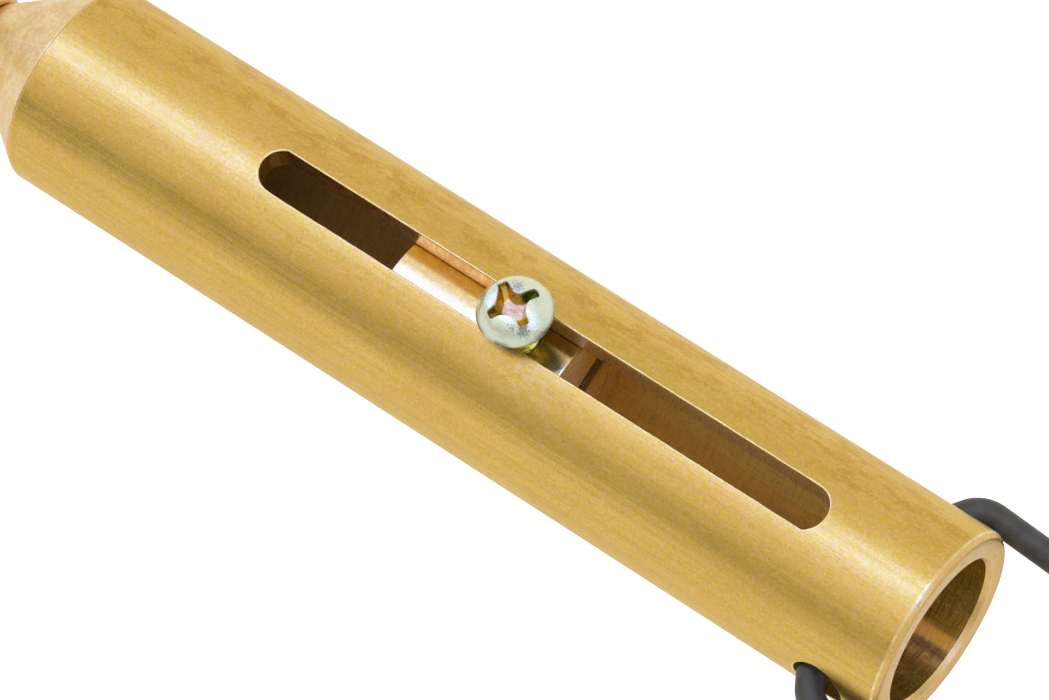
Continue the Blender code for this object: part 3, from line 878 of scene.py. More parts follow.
def zinc_plate():
    """Zinc plate with a yellow passivation that stays in the recess and the thread."""
    mat = Shade("zinc_plate", (0.80, 0.82, 0.54))
    depth = mat.math("SUBTRACT", HEAD_UNDER + HEAD_H, mat.z)
    off_axis = mat.split(mat.vector_math("SUBTRACT", mat.where, (SCREW_X, 0, 0)))
    off_x, off_y = off_axis[0], off_axis[1]
    reach = mat.radius(off_x, off_y)
    cloud = mat.noise(scale=1.1, detail=4.0, warp=0.5)
    fine = mat.noise(scale=6.0, rough=0.65)
    mat.tint(cloud, over=(0.38, 0.62), tone=(0.70, 0.77, 0.50))
    mat.tint(fine, over=(0.52, 0.72), most=0.4, tone=(0.82, 0.80, 0.62))

    # each wing of the recess has its own tone, painted light and shade over the yellow
    # passivation; sunk is 1 below the head's domed top
    cos, sin = math.cos(RECESS_TURN), math.sin(RECESS_TURN)
    along = mat.add(mat.mul(off_x, cos), mat.mul(off_y, sin))
    beside = mat.add(mat.mul(off_x, -sin), mat.mul(off_y, cos))
    dome_power, dome_fall = 4.5, 1.35
    fall = mat.mul(mat.math("POWER", mat.mul(reach, 1.0 / HEAD_R), dome_power), dome_fall)
    sunk = mat.mul(
        mat.ramp(mat.math("SUBTRACT", depth, fall), over=(0.10, 0.24)),
        mat.ramp(reach, over=(2.20, 2.00)),
    )
    patchy = mat.ramp(mat.noise(scale=1.6), over=(0.42, 0.60))
    wings = mat.blend(patchy, (0.44, 0.38, 0.02), (0.58, 0.42, 0.05))
    for value, over, tone in (
        (along, (0.45, 1.0), (0.20, 0.23, 0.002)),
        (along, (-0.45, -1.0), (0.34, 0.24, 0.003)),
        (beside, (-0.40, -0.80), (0.80, 0.56, 0.005)),
        (beside, (0.45, 1.0), (0.74, 0.42, 0.03)),
        (beside, (1.25, 1.65), (0.36, 0.20, 0.010)),
    ):
        wings = mat.blend(mat.ramp(value, over=over), wings, tone)
    mat.paint(sunk, amount=0.95, tone=wings)
    # the recess's floor is pale
    floor = mat.mul(mat.ramp(depth, over=(1.08, 1.20)), mat.ramp(reach, over=(1.02, 0.78)))
    patchy = mat.ramp(mat.noise(scale=2.2, detail=2.0, rough=0.5), over=(0.46, 0.62))
    floor_tone = mat.blend(patchy, (0.84, 0.68, 0.46), (0.88, 0.42, 0.36))
    mat.paint(floor, amount=0.92, tone=floor_tone)
    # the shank is yellow; the underside of the head is painted dark, a painted shade
    shank = mat.ramp(mat.z, over=(HEAD_UNDER + 0.02, HEAD_UNDER - 0.10))
    mat.paint(shank, amount=0.85, tone=(0.66, 0.70, 0.10))
    underside_shade = mat.mul(
        mat.ramp(mat.z, over=(HEAD_UNDER + 0.16, HEAD_UNDER + 0.06)),
        mat.ramp(reach, over=(1.55, 1.75)),
    )
    mat.paint(underside_shade, amount=0.90, tone=(0.10, 0.10, 0.035))
    # dark and grey smudges with ragged edges: x and y from the axis, size, amount, tone
    for x, y, size, amount, tone in (
        (1.75, -1.15, 0.50, 0.80, (0.16, 0.19, 0.24)),
        (1.05, -1.55, 0.30, 0.70, (0.22, 0.26, 0.24)),
        (-0.50, 1.12, 0.62, 0.85, (0.40, 0.38, 0.36)),
        (0.95, 1.10, 0.35, 0.45, (0.40, 0.44, 0.42)),
    ):
        flat = mat.vector(off_x, off_y, 0.0)
        away = mat.vector_math("DISTANCE", flat, (x, y, 0.0), output="Value")
        ragged = mat.add(away, mat.ramp(fine, to=(-0.30, 0.30)))
        spot = mat.ramp(ragged, over=(size, size * 0.45), to=(0.0, amount))
        mat.paint(mat.mul(spot, mat.invert(sunk)), tone)
    # the rim of the head is greyer and greener, with patchy painted shade along its edge
    mat.tint(reach, over=(2.25, 2.72), most=0.60, tone=(0.56, 0.64, 0.48))
    patchy = mat.noise(scale=0.55, detail=2.0, rough=0.5)
    rim_shade = mat.mul(mat.ramp(reach, over=(2.62, 2.79)), mat.ramp(patchy, over=(0.42, 0.60)))
    mat.paint(rim_shade, amount=0.80, tone=(0.12, 0.15, 0.09))
    patchy = mat.noise(scale=0.9, detail=4.0, rough=0.65, warp=0.8)
    smudge = mat.mul(mat.ramp(patchy, over=(0.52, 0.66)), mat.invert(sunk))
    mat.paint(smudge, amount=0.36, tone=(0.50, 0.60, 0.46))

    smudge_rough = 0.08
    rough = mat.add(mat.ramp(fine, to=(0.20, 0.32)), mat.mul(smudge, smudge_rough))
    mat.bump(cloud, strength=0.45, depth=0.16)
    mat.bump(fine, strength=0.22, depth=0.04)
    # metal lost on the recess's floor, everywhere, and how much of the latter wings regain
    floor_loss, film_loss, sunk_gain = 0.75, 0.25, 0.20
    film = mat.math("SUBTRACT", film_loss, mat.mul(sunk, sunk_gain))
    loss = mat.math("MAXIMUM", mat.mul(floor, floor_loss), film)
    return mat.finish(rough, metallic=mat.invert(loss), Specular_Tint=(1.0, 0.9, 0.5))


def blackened_wire():
    """Black oxide on drawn wire: satin, with a fine grain and small rubbed spots."""
    mat = Shade("blackened_wire", (0.038, 0.038, 0.027))
    grain = mat.noise(scale=7.0, detail=4.0, rough=0.65)
    cloud = mat.noise(scale=0.9, warp=0.4)
    rub = mat.noise(scale=2.6, detail=4.0, rough=0.7, warp=0.3)
    rub = mat.ramp(rub, over=(0.64, 0.76))
    mat.tint(cloud, over=(0.35, 0.65), tone=(0.056, 0.055, 0.041))
    mat.paint(rub, amount=0.35, tone=(0.12, 0.11, 0.10))
    mat.tint(grain, over=(0.52, 0.70), most=0.4, tone=(0.085, 0.083, 0.064))
    rub_rough = -0.06
    rough = mat.add(mat.ramp(grain, to=(0.38, 0.50)), mat.mul(rub, rub_rough))
    mat.bump(grain, strength=0.30, depth=0.05)
    return mat.finish(rough, metallic=0.0, IOR=1.5, Specular_Tint=(1.0, 0.86, 0.42))


def seal_rubber():
    mat = Shade("seal_rubber", (0.022, 0.022, 0.023))
    grain = mat.noise(scale=9.0, detail=4.0, rough=0.7)
    mat.tint(mat.noise(scale=0.8), over=(0.4, 0.7), tone=(0.045, 0.044, 0.042))
    mat.bump(grain, strength=0.3, depth=0.04)
    return mat.finish(mat.ramp(grain, to=(0.55, 0.72)), metallic=0.0)


def lock_nylon():
    mat = Shade("lock_nylon", (0.82, 0.80, 0.72))
    grain = mat.noise(scale=7.0)
    mat.tint(mat.noise(scale=1.2), over=(0.4, 0.7), tone=(0.74, 0.71, 0.60))
    mat.bump(grain, strength=0.2, depth=0.03)
    return mat.finish(mat.ramp(grain, to=(0.42, 0.55)), metallic=0.0, Subsurface_Weight=0.1)


DRAWN = drawn_brass()
BORED = bored_brass()
MILLED = milled_brass()
EDGE = edge_brass()
FACED = turned_brass(
    "faced_brass", base=(0.75, 0.47, 0.13), other=(0.70, 0.40, 0.11), pale=(0.84, 0.58, 0.22),
    pitch=0.22, rough=0.38, ring=0.35, face_marks=tube_end_marks,
)
BUTT = turned_brass(
    "slider_end_brass", base=(0.98, 0.63, 0.14), other=(0.92, 0.54, 0.10),
    pale=(0.99, 0.70, 0.22), pitch=0.20, rough=0.30, face_marks=driver_slot_shade,
    metallic=0.25,
)
CONE = turned_brass(
    "turned_brass", base=(0.96, 0.77, 0.40), other=(0.80, 0.50, 0.15), pale=(0.97, 0.80, 0.48),
    pitch=0.17, rough=0.36,
)
SMALL = turned_brass(
    "small_turned_brass", base=(0.78, 0.52, 0.14), other=(0.68, 0.42, 0.10),
    pale=(0.86, 0.62, 0.22), pitch=0.12, rough=0.30,
)
POLISHED = polished_brass()
ZINC = zinc_plate()
WIRE = blackened_wire()
RUBBER = seal_rubber()
NYLON = lock_nylon()


# ---------------------------------------------------------------- body tube
def build_tube():
    outside, bore, cut, rim, face = range(5)  # places in the list of materials
    tube = Skin()
    plan = slot_plan()
    steps = np.linalg.norm(np.diff(plan, axis=0), axis=1)
    run = np.concatenate([[0], np.cumsum(steps)])
    # the slot's outer edge was broken by hand, so its rounding wanders
    edge = 0.135 + 0.025 * value_noise(run * 1.3, 1.0) + 0.02 * value_noise(run * 4.1, 2.0)
    hole = circle_plan(HOLE_X, HOLE_R, steps=96)
    rims_out, rims_in = [], []
    for outline, facing, edge_out, edge_in in (
        (plan, facing_up, edge, 0.06),
        (hole, facing_minus_y, 0.13, 0.07),
        (hole, facing_plus_y, 0.13, 0.07),
    ):
        ring_out, ring_in = opening(
            tube, outline, facing, TUBE_R, BORE_R, edge_out, edge_in, look=cut, edge_look=rim
        )
        rims_out.append(ring_out)
        rims_in.append(ring_in)
    runs = outline_runs([
        (0.03, BORE_R, 0.08), (0.03, TUBE_R, 0.10), (TUBE_L - 0.40, TUBE_R, 0.30),
        (TUBE_L, TUBE_R - 0.34, 0.30), (TUBE_L, BORE_R + 0.26, 0.06),
        (TUBE_L - 0.40, BORE_R, 0.06),
    ])
    outer, inner = ("line", 1), ("line", 5)
    rounded = {("arc", corner): rim for corner in (1, 2, 5)}
    spin(tube, runs, skip=(outer, inner), looks=rounded, look=face)
    outer_x, inner_x = stations(runs, outer, 0.6), stations(runs, inner, 0.6)
    wall_with_openings(tube, TUBE_R, outer_x, rims_out, 1, look=outside)
    wall_with_openings(tube, BORE_R, inner_x, rims_in, -1, look=bore)
    looks = [DRAWN, BORED, MILLED, EDGE, FACED]
    tube.build("tube_shell", "body_tube", "whistle_body", looks)


def build_turned(
    name, cad_name, body, slot, look, corners, around=AROUND, upright_at=None, **outline
):
    """A turned piece of one material from its outline of (x, radius, fillet) corners."""
    skin = Skin()
    runs = outline_runs(corners, **outline)
    spin(skin, runs, around=around, upright_at=upright_at)
    return skin.build(name, cad_name, body, [look])


def build_o_ring(name, cad_name, body, x, middle_r, cord_r):
    angle = math.tau * np.arange(25) / 24
    normals = np.stack([np.cos(angle), np.sin(angle)], -1)
    points = np.stack([x + cord_r * np.cos(angle), middle_r + cord_r * np.sin(angle)], -1)
    skin = Skin()
    spin(skin, [(points, normals, ("ring", 0))], around=128)
    skin.build(name, cad_name, body, [RUBBER])


def build_roll(name, cad_name, start, end, radius, fillet_start, fillet_end):
    """A rounded collar on the blow pipe."""
    corners = [
        (start, NECK_BORE_R), (start, radius, fillet_start), (end, radius, fillet_end),
        (end, NECK_BORE_R),
    ]
    build_turned(
        name, cad_name, "whistle_body", "turned_brass", SMALL, corners, around=128, arc=14,
        step=0.3,
    )


build_tube()

# ---------------------------------------------------------------- nose, blow tube
# the cone, and behind it the spigot in the tube with the groove for its seal
NOSE_OUTLINE = [
    (-CONE_L, NECK_BORE_R, 0.0), (-CONE_L, CONE_TIP_R, 0.12), (0, TUBE_R, 0.10),
    (0, 5.83, 0.0), (4.9, 5.83, 0.05), (4.9, 4.90, 0.05), (5.95, 4.90, 0.05),
    (5.95, 5.83, 0.05), (7.8, 5.83, 0.05), (8.0, 5.63, 0.05), (8.0, 4.40, 0.05),
    (4.15, 4.40, 0.05), (4.15, 3.80, 0.0), (2.90, 3.80, 0.10), (2.90, NECK_BORE_R, 0.0),
]
build_turned(
    "nose_turning", "nose_cone", "whistle_body", "turned_brass", CONE, NOSE_OUTLINE, step=0.5
)
build_turned(
    "blow_pipe", "blow_tube", "whistle_body", "drawn_brass", DRAWN,
    [
        (MOUTH_X, 1.62, 0.06), (MOUTH_X, 2.10, 0.0), (2.80, 2.10, 0.05), (2.80, 1.45, 0.05),
        (MOUTH_X + 0.17, 1.45, 0.10),
    ],
    around=96,
)
build_roll(
    "neck_collar", "neck_ferrule", start=-CONE_L - 2.7, end=-CONE_L - 0.05, radius=3.05,
    fillet_start=0.95, fillet_end=0.6,
)
build_roll(
    "mouth_roll", "mouth_bead", start=MOUTH_X, end=MOUTH_X + 2.4, radius=3.15,
    fillet_start=0.8, fillet_end=0.8,
)
build_o_ring(
    "nose_o_ring", "nose_seal", "whistle_body", x=5.425, middle_r=5.375, cord_r=0.43
)
build_turned(
    "jet_outer_ring", "jet_ring", "whistle_body", "turned_brass", SMALL,
    [
        (6.50, 4.05, 0.04), (6.50, 4.37, 0.05), (8.00, 4.37, 0.05), (8.00, 3.75, 0.03),
        (7.20, 3.75, 0.1),
    ],
    around=160, step=0.3,
)


# ---------------------------------------------------------------- slider
def build_sleeve():
    outside, cut, rim, face = range(4)  # places in the list of materials
    around = 224
    sleeve = Skin()
    tapped = circle_plan(SCREW_X, TAPPED_R, steps=80)
    rim_out, rim_in = opening(
        sleeve, tapped, facing_up, SLIDER_R, SLEEVE_BORE_R, 0.10, 0.05, look=cut, edge_look=rim
    )
    runs = outline_runs([
        (SLIDER_X0, 5.00, 0.04), (SLIDER_X0, SLIDER_R, 0.16), (SLIDER_X1, SLIDER_R, 0.13),
        (SLIDER_X1, SLEEVE_BORE_R, 0.03), (33.40, SLEEVE_BORE_R, 0.05), (33.40, 5.00, 0.05),
    ])
    outer, inner = ("line", 1), ("line", 3)
    looks = {("arc", 1): rim, ("arc", 2): rim, ("line", 2): face, ("line", 0): face}
    spin(sleeve, runs, skip=(outer, inner), looks=looks, look=outside, around=around)
    for radius, tag, ring, side, look in (
        (SLIDER_R, outer, rim_out, 1, outside),
        (SLEEVE_BORE_R, inner, rim_in, -1, cut),
    ):
        wall_x = stations(runs, tag, 0.5)
        wall_with_openings(sleeve, radius, wall_x, [ring], side, look=look, around=around)
    looks = [POLISHED, MILLED, EDGE, BUTT]
    sleeve.build("slider_shell", "slider_sleeve", "slider", looks)


build_sleeve()
build_turned(
    "edge_lip", "edge_ring", "slider", "turned_brass", SMALL,
    [
        (31.25, 3.45, 0.02), (31.25, 3.55, 0.02), (32.60, 4.96, 0.05), (33.38, 4.96, 0.05),
        (33.38, 3.45, 0.05),
    ],
    around=160, step=0.3,
)
build_turned(
    "piston_body", "tuning_piston", "tuning_piston", "turned_brass", SMALL,
    [
        (36.40, 0), (36.40, 3.70, 0.15), (37.05, 3.70, 0.05), (37.05, 3.02, 0.05),
        (37.95, 3.02, 0.05), (37.95, 3.70, 0.05), (38.60, 3.70, 0.10), (38.60, 1.00, 0.05),
        (37.55, 1.00, 0.05), (37.55, 0),
    ],
    around=128, step=0.3,
)
build_o_ring(
    "piston_o_ring", "piston_seal", "tuning_piston", x=37.50, middle_r=3.46, cord_r=0.40
)
# a disc under the screw's tip: its outline runs up z
build_turned(
    "nylon_pad", "lock_pad", "lock_pad", "lock_nylon", NYLON,
    [(4.35, 0), (4.35, 1.20, 0.08), (4.75, 1.20, 0.08), (4.75, 0)],
    around=96, upright_at=SCREW_X, step=0.2,
)


def bake(made):
    """Put an object's modifiers into its mesh."""
    bpy.context.view_layer.update()
    graph = bpy.context.evaluated_depsgraph_get()
    mesh = bpy.data.meshes.new_from_object(made.evaluated_get(graph))
    made.modifiers.clear()
    made.data = mesh
    return mesh


def build_plug():
    """The tuning plug, with a driver slot cut across its +X face and its edges rounded."""
    plug = build_turned(
        "plug_screw", "tuning_plug", "tuning_plug", "polished_brass", BUTT,
        [
            (37.75, 0), (37.75, 0.92, 0.1), (38.95, 0.92, 0.0), (38.95, 3.85, 0.30),
            (46.13, 3.87, 0.05), (46.13, 0),
        ],
        around=160, step=0.5,
    )
    size, centre, turn = (2.6, 9.0, 2.2), (46.10, 0, 0), math.radians(18.8)
    mesh = bpy.data.meshes.new("plug_screw_cutter_0")
    shape = bmesh.new()
    bmesh.ops.create_cube(shape, size=1.0)
    bmesh.ops.scale(shape, vec=Vector(size) / 1000, verts=shape.verts)
    move = Matrix.Translation(Vector(in_metres(centre)))
    turned = Matrix.Rotation(turn, 3, "X").to_4x4()
    bmesh.ops.transform(shape, matrix=move @ turned, verts=shape.verts)
    shape.to_mesh(mesh)
    shape.free()
    mesh.materials.append(BUTT)
    tool = bpy.data.objects.new(mesh.name, mesh)
    bpy.context.scene.collection.objects.link(tool)
    cut = plug.modifiers.new("cut", "BOOLEAN")
    cut.operation = "DIFFERENCE"
    cut.solver = "EXACT"
    cut.object = tool
    bake(plug)
    bpy.data.objects.remove(tool, do_unlink=True)

    bevel = plug.modifiers.new("round", "BEVEL")
    bevel.width = 0.10 / 1000
    bevel.segments = 3
    bevel.limit_method = "ANGLE"
    bevel.angle_limit = math.radians(50)
    bevel.use_clamp_overlap = True
    mesh = bake(plug)
    mesh.shade_smooth()
    mesh.set_sharp_from_angle(angle=math.radians(32))


build_plug()


# ---------------------------------------------------------------- clamp screw
def recess_outline():
    """The worn cross from above, in the wings' own axes, all its corners softened."""
    half = RECESS_HALF_W
    corners = []
    for k, worn in enumerate(RECESS_WEAR):
        meet = worn * math.sqrt(2) - half
        turn = math.pi / 2 * k
        for x, y in (
            (RECESS_REACH, -half),
            (RECESS_REACH, half),
            (meet, half),
            (half + 0.16 * (meet - half), half + 0.55 * (meet - half)),
            (half, meet),
        ):
            corners.append(rotated((x, y), turn))
    outline = np.array(corners)
    for _ in range(3):
        after = np.roll(outline, -1, axis=0)
        pairs = [0.80 * outline + 0.20 * after, 0.20 * outline + 0.80 * after]
        outline = np.stack(pairs, 1).reshape(-1, 2)
    return outline


RECESS = recess_outline()


def recess_depth(x, y):
    """Depth of the recess: steep walls, wing bottoms that climb to the tips, a flat floor."""
    cos, sin = math.cos(RECESS_TURN), math.sin(RECESS_TURN)
    along = x * cos + y * sin
    beside = -x * sin + y * cos
    points = np.stack([along, beside], -1)
    distance = outline_distance(RECESS, points)
    distance = np.where(inside(RECESS, points), -distance, distance)
    reach = np.maximum(np.abs(along), np.abs(beside))
    depth_in = np.maximum(-distance, 0)
    wall = depth_in * 3.6
    climb = np.maximum(RECESS_REACH - reach, 0)
    end = 0.30 * (1 - np.exp(-climb / 0.06)) + climb * 0.92
    floor = RECESS_DEPTH + 0.025 * np.sin(4.0 * x + 0.5) * np.sin(3.3 * y + 1.0)
    # the least of the three, with soft passages between them
    sharp = 16.0
    low = -np.log(np.exp(-np.stack([wall, end, floor], 0) * sharp).sum(0)) / sharp
    lifted = np.maximum(low + math.log(3) / sharp * np.exp(-depth_in * 8), 0)
    low = np.where(distance < 0, lifted, 0)
    # a raised burr and a soft rim just outside
    ripple = 0.7 + 0.5 * np.sin(3.0 * np.arctan2(beside, along) + 1.0)
    burr = 0.028 * np.exp(-(((distance - 0.03) / 0.07) ** 2)) * ripple
    return np.maximum(low, 0) - burr


def build_screw():
    """The pan-head screw as rings from its tip up to the middle of its head."""
    theta = ring_angles(448)
    sin, cos = np.sin(theta), np.cos(theta)
    heights, radii = [], []

    def ring(z, radius):
        heights.append(np.broadcast_to(np.asarray(z, float), theta.shape))
        radii.append(np.broadcast_to(np.asarray(radius, float), theta.shape))

    for radius in np.linspace(0, SHANK_R - 0.30, 8):
        ring(SCREW_TIP, radius)
    # threaded shank, chamfered at the tip and plain under the head
    neck = SHANK_R - 0.10
    z = SCREW_TIP + 0.02
    while z < HEAD_UNDER - 0.02:
        phase = (z / THREAD_PITCH + theta / math.tau) % 1.0
        tooth = np.clip(1.25 - 2.5 * np.abs(phase - 0.5), 0.0, 1.0)
        thread = SHANK_R - THREAD_DEPTH * tooth
        tip = SHANK_R - np.clip(0.28 - (z - SCREW_TIP), 0, 1)
        fade = np.clip((z - (HEAD_UNDER - 0.45)) / 0.30, 0, 1)
        ring(z, np.minimum(thread * (1 - fade) + neck * fade, tip))
        z += 0.035
    # fillet, underside and lower edge of the head
    for k in range(6):
        angle = math.pi / 2 * k / 5
        ring(HEAD_UNDER - 0.12 * (1 - math.sin(angle)), neck + 0.12 * (1 - math.cos(angle)))
    for radius in np.linspace(neck + 0.2, HEAD_R - 0.20, 6):
        ring(HEAD_UNDER, radius)
    for k in range(7):
        angle = math.pi / 2 * k / 6
        ring(HEAD_UNDER + 0.18 * (1 - math.cos(angle)), HEAD_R - 0.18 * (1 - math.sin(angle)))
    ring(HEAD_UNDER + 0.24, HEAD_R)
    # the rim and the dome over it, finer where the recess is
    rim_h, recess_r = 0.30, 2.30
    dome = [*np.linspace(HEAD_R, recess_r, 34), *np.linspace(recess_r - 0.02, 0.0, 115)]
    for radius in dome:
        x, y = radius * sin, radius * cos
        fullness = max(0.0, 1 - (radius / HEAD_R) ** 4.5) ** 0.95
        rise = rim_h + (HEAD_H - rim_h) * fullness
        uneven = 0.012 * np.sin(3 * theta + 0.5) + 0.008 * np.sin(7 * theta + 2.0)
        sunk = recess_depth(x, y) if radius < 2.3 else np.zeros_like(x)
        sunk = sunk + uneven * min(1.0, radius / 1.0) * (1 - (radius / HEAD_R) ** 6)
        ring(np.minimum(HEAD_UNDER + rise - sunk, HEAD_UNDER + HEAD_H), radius)
    heights, radii = np.array(heights), np.array(radii)
    points = np.stack([SCREW_X + radii * sin, radii * cos, heights], -1)

    # normals from the surface itself, turned outward as judged on the head's rim
    wrapped = np.concatenate([points[:, -1:], points, points[:, :1]], axis=1)
    normals = np.cross(np.gradient(points, axis=0), wrapped[:, 2:] - wrapped[:, :-2])
    length = np.linalg.norm(normals, axis=-1, keepdims=True)
    normals = normals / np.maximum(length, 1e-12)
    rim = np.argmin(np.abs(heights[:, 0] - (HEAD_UNDER + 0.4)))
    outward = np.stack([sin, cos, 0 * sin], -1)
    if (normals[rim] * outward).sum() < 0:
        normals = -normals
    normals[0], normals[-1] = (0, 0, -1), (0, 0, 1)
    skin = Skin()
    skin.grid(points, normals)
    skin.build("pan_screw", "clamp_screw", "clamp_screw", [ZINC], weld=1e-5)


build_screw()


# ---------------------------------------------------------------- wire bail
def wire_side(shift):
    """Half of the bail's middle line in its own plane, from its end in the hole to the bridge.

    x is measured from the holes towards the bridge.
    """
    turn_sin, turn_cos = math.sin(END_TURN), math.cos(END_TURN)
    run = END_BEND_R * turn_sin + END_RUN * turn_cos + BEND_R * (1 - turn_sin)
    x, y = shift, BAIL_HALF_W - run
    start = TIP_Y + 0.17
    side = [(x, start + (y - TIP_Y - 0.17) * k / 4) for k in range(5)]
    side += [
        (x + END_BEND_R * (1 - math.cos(angle)), y + END_BEND_R * math.sin(angle))
        for angle in np.linspace(0, END_TURN, 9)[1:]
    ]
    x, y = side[-1]
    side += [
        (x + END_RUN * turn_sin * part, y + END_RUN * turn_cos * part)
        for part in (0.33, 0.67, 1.0)
    ]
    x, y = side[-1]
    side += [
        (x + BEND_R * (turn_cos - math.cos(angle)), y + BEND_R * (math.sin(angle) - turn_sin))
        for angle in np.linspace(END_TURN, math.pi / 2, 17)[1:]
    ]
    x = side[-1][0]
    corner_x, corner_y = BAIL_REACH - CORNER_R, BAIL_HALF_W - CORNER_R
    side += [(x + (corner_x - x) * k / 24, BAIL_HALF_W) for k in range(1, 25)]
    side += [
        (corner_x + CORNER_R * math.cos(angle), corner_y + CORNER_R * math.sin(angle))
        for angle in np.linspace(math.pi / 2, 0, 25)[1:]
    ]
    return side + [(BAIL_REACH, y) for y in np.linspace(corner_y, 0, 9)[1:]]


def build_wire():
    plus_side, minus_side = (wire_side(shift) for shift in END_SHIFTS)
    path = np.array(plus_side + [(x, -y) for x, y in reversed(minus_side[:-1])])
    way = np.gradient(path, axis=0)
    way[0], way[-1] = path[1] - path[0], path[-1] - path[-2]
    way /= np.linalg.norm(way, axis=1, keepdims=True)
    zero = 0 * way[:, 0]
    tangent = np.stack([way[:, 0], way[:, 1], zero], -1)
    flat = np.stack([-way[:, 1], way[:, 0], zero], -1)
    up = np.array([0.0, 0.0, 1.0])
    around = math.tau * np.arange(48) / 48
    radial = (
        flat[:, None] * np.cos(around)[None, :, None] + up * np.sin(around)[None, :, None]
    )
    middle = np.stack([path[:, 0], path[:, 1], zero], -1)[:, None]
    droop = np.array(Matrix.Rotation(DROOP, 3, "Y"))
    pivot = np.array([HOLE_X, 0.0, 0.0])
    skin = Skin()

    def add(points, normals):
        skin.grid((points @ droop.T) + pivot, normals @ droop.T)

    add(middle + WIRE_R * radial, radial)
    for end, sign in ((0, -1.0), (-1, 1.0)):
        rows, normals = [], []
        outward = tangent[end] * sign
        for angle in np.linspace(0, math.pi / 2, 5):
            radius = WIRE_R - CAP_ROUND * (1 - math.cos(angle))
            sideways = middle[end] + radial[end] * radius
            rows.append(sideways + outward * CAP_ROUND * math.sin(angle))
            normals.append(radial[end] * math.cos(angle) + outward * math.sin(angle))
        for radius in np.linspace(WIRE_R - CAP_ROUND, 0, 7)[1:]:
            crown = CAP_ROUND + 0.02 * (1 - radius / WIRE_R)
            rows.append(middle[end] + radial[end] * radius + outward * crown)
            normals.append(np.repeat(outward[None], len(around), 0))
        add(np.array(rows), np.array(normals))
    skin.build("bail_wire", "wire_bail", "bail", [WIRE])


build_wire()

# The jet's core keeps its CAD shape.
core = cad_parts["jet_core"]
for k in range(len(core.data.materials)):
    core.data.materials[k] = SMALL
if not core.data.materials:
    core.data.materials.append(SMALL)


# ---------------------------------------------------------------- floor, light, camera
def switch_for_camera(graph, lit, shown, output):
    """The camera sees one shader, while every other ray is lit by the other."""
    is_camera = graph.node("ShaderNodeLightPath").outputs["Is Camera Ray"]
    mix = graph.node("ShaderNodeMixShader")
    for source, socket in zip((is_camera, lit, shown), mix.inputs):
        graph.link(source, socket)
    graph.link(mix.outputs[0], output.inputs["Surface"])


def build_floor():
    """A white table that also lights the whistle from below."""
    half, z = 1.5, -0.0003  # metres
    corners = [(-half, -half, z), (half, -half, z), (half, half, z), (-half, half, z)]
    mesh = bpy.data.meshes.new("floor")
    mesh.from_pydata(corners, [], [(0, 1, 2, 3)])
    floor = bpy.data.objects.new("floor", mesh)
    bpy.context.scene.collection.objects.link(floor)
    paper = bpy.data.materials.new("white_table")
    paper.use_nodes = True
    graph = Graph(paper.node_tree)
    surface = graph.tree.nodes["Principled BSDF"]
    for key, value in (
        ("Base Color", (0.36, 0.36, 0.36)),
        ("Roughness", 0.9),
        ("Specular IOR Level", 0.0),
        ("Emission Color", (1, 0.97, 0.84)),
        ("Emission Strength", 0.62),
    ):
        graph.link(value, surface.inputs[key])
    glow = graph.node("ShaderNodeEmission")
    glow.inputs["Strength"].default_value = 1.5
    output = next(node for node in graph.tree.nodes if node.type == "OUTPUT_MATERIAL")
    switch_for_camera(graph, surface.outputs[0], glow.outputs[0], output)
    mesh.materials.append(paper)


def set_film(scene):
    """A film's soft shoulder: bright reflections turn creamy before they turn white."""
    scene.view_settings.view_transform = "Standard"
    scene.view_settings.look = "None"
    scene.view_settings.use_curve_mapping = True
    film = scene.view_settings.curve_mapping
    film.use_clip = False
    film.clip_min_x = 0.0
    film.clip_min_y = 0.0
    film.clip_max_x = 2.0
    film.clip_max_y = 1.0
    shoulder = film.curves[3]
    shoulder.points[0].location = (0.0, 0.0)
    shoulder.points[1].location = (2.0, 1.0)
    # light level, and the level it is shown as
    for level, shown in (
        (0.3, 0.3), (0.55, 0.55), (0.72, 0.71), (0.86, 0.82), (1.0, 0.905), (1.2, 0.97),
        (1.4, 1.0),
    ):
        shoulder.points.new(level, shown)
    film.update()


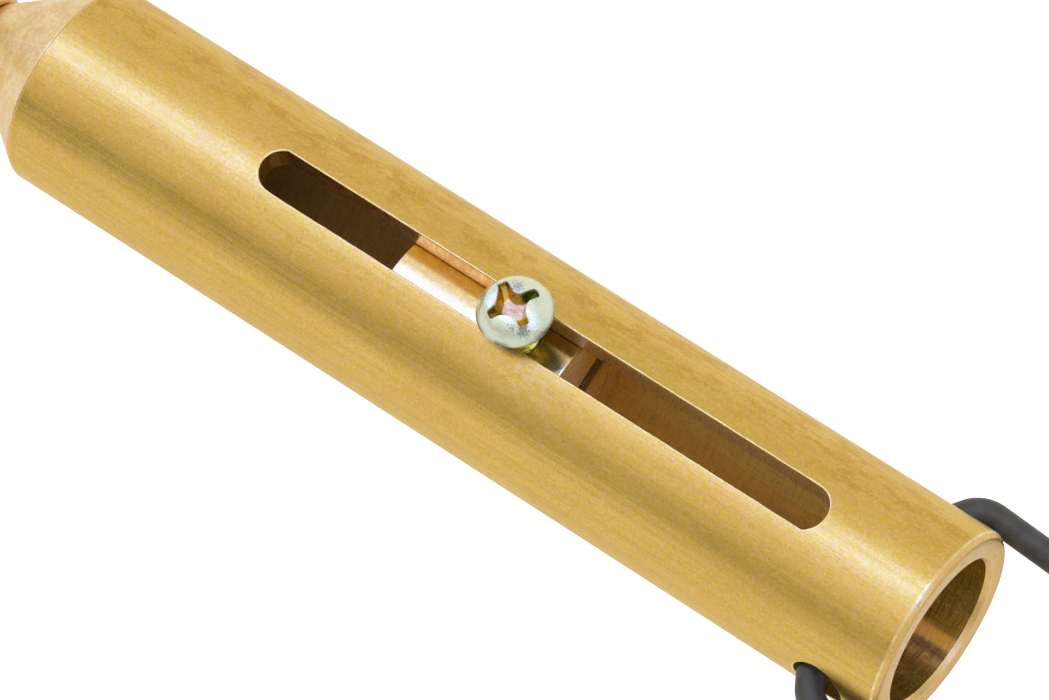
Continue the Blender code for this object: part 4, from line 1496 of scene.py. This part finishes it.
def build_world(scene):
    """An even studio with a bluish strip lamp overhead, a darker strip and a soft round light."""
    world = bpy.data.worlds.new("studio")
    scene.world = world
    world.use_nodes = True
    world.node_tree.nodes.clear()
    graph = Graph(world.node_tree)
    sky = graph.node("ShaderNodeTexCoord").outputs["Generated"]

    def glow(toward, direction, width, core, strength, colour):
        """Full within core of its width in degrees, fading to nothing at the width."""
        facing = graph.vector_math("DOT_PRODUCT", toward, direction, output="Value")
        fade = graph.node("ShaderNodeMapRange", interpolation_type="SMOOTHERSTEP")
        graph.link(facing, fade.inputs["Value"])
        fade.inputs["From Min"].default_value = math.cos(math.radians(width))
        fade.inputs["From Max"].default_value = math.cos(math.radians(width * core))
        fade.inputs["To Min"].default_value = 0.0
        fade.inputs["To Max"].default_value = strength
        scaled = graph.node("ShaderNodeVectorMath", operation="SCALE")
        graph.link(colour, scaled.inputs[0])
        graph.link(fade.outputs["Result"], scaled.inputs["Scale"])
        return scaled.outputs[0]

    def strip(angle, width, colour):
        """A soft band along the tube, at degrees from straight up towards +Y."""
        across = graph.vector_math("MULTIPLY", sky, (0, 1, 1))
        toward = graph.vector_math("NORMALIZE", across)
        direction = (0, math.sin(math.radians(angle)), math.cos(math.radians(angle)))
        return glow(toward, direction, width, core=0.2, strength=1.0, colour=colour)

    lamp = strip(angle=4, width=12, colour=(0.72, 1.25, 5.2))
    dark = strip(angle=-65, width=17, colour=(-0.34, -0.34, -0.35))
    overhead = glow(
        graph.vector_math("NORMALIZE", sky), tuple(Vector((-0.35, 0.02, 0.935)).normalized()),
        width=40, core=0.25, strength=0.22, colour=(1.0, 1.0, 1.0),
    )
    even_light = (0.86, 0.85, 0.83)
    studio = graph.vector_math("ADD", lamp, even_light)
    for part in (dark, overhead):
        studio = graph.vector_math("ADD", studio, part)
    shaders = []
    for colour, strength in ((studio, 1.0), ((1, 1, 1), 1.5)):
        background = graph.node("ShaderNodeBackground")
        graph.link(colour, background.inputs["Color"])
        graph.link(strength, background.inputs["Strength"])
        shaders.append(background.outputs[0])
    switch_for_camera(graph, *shaders, graph.node("ShaderNodeOutputWorld"))


def build_camera(scene):
    data = bpy.data.cameras.new("camera")
    data.sensor_width = 36.0
    data.lens = 221.66
    data.clip_start = 0.01
    data.clip_end = 10.0
    camera = bpy.data.objects.new("camera", data)
    scene.collection.objects.link(camera)
    axes = Matrix((
        (0.79230873, 0.60097672, -0.10523236),  # right
        (-0.50206643, 0.74021794, 0.44722108),  # up
        (0.34666434, -0.30150353, 0.88821138),  # back
    ))
    spot = Vector(in_metres((200.8725, -138.1878, 410.5708)))
    camera.matrix_world = Matrix.Translation(spot) @ axes.transposed().to_4x4()
    scene.camera = camera


build_floor()
set_film(bpy.context.scene)
build_world(bpy.context.scene)
build_camera(bpy.context.scene)
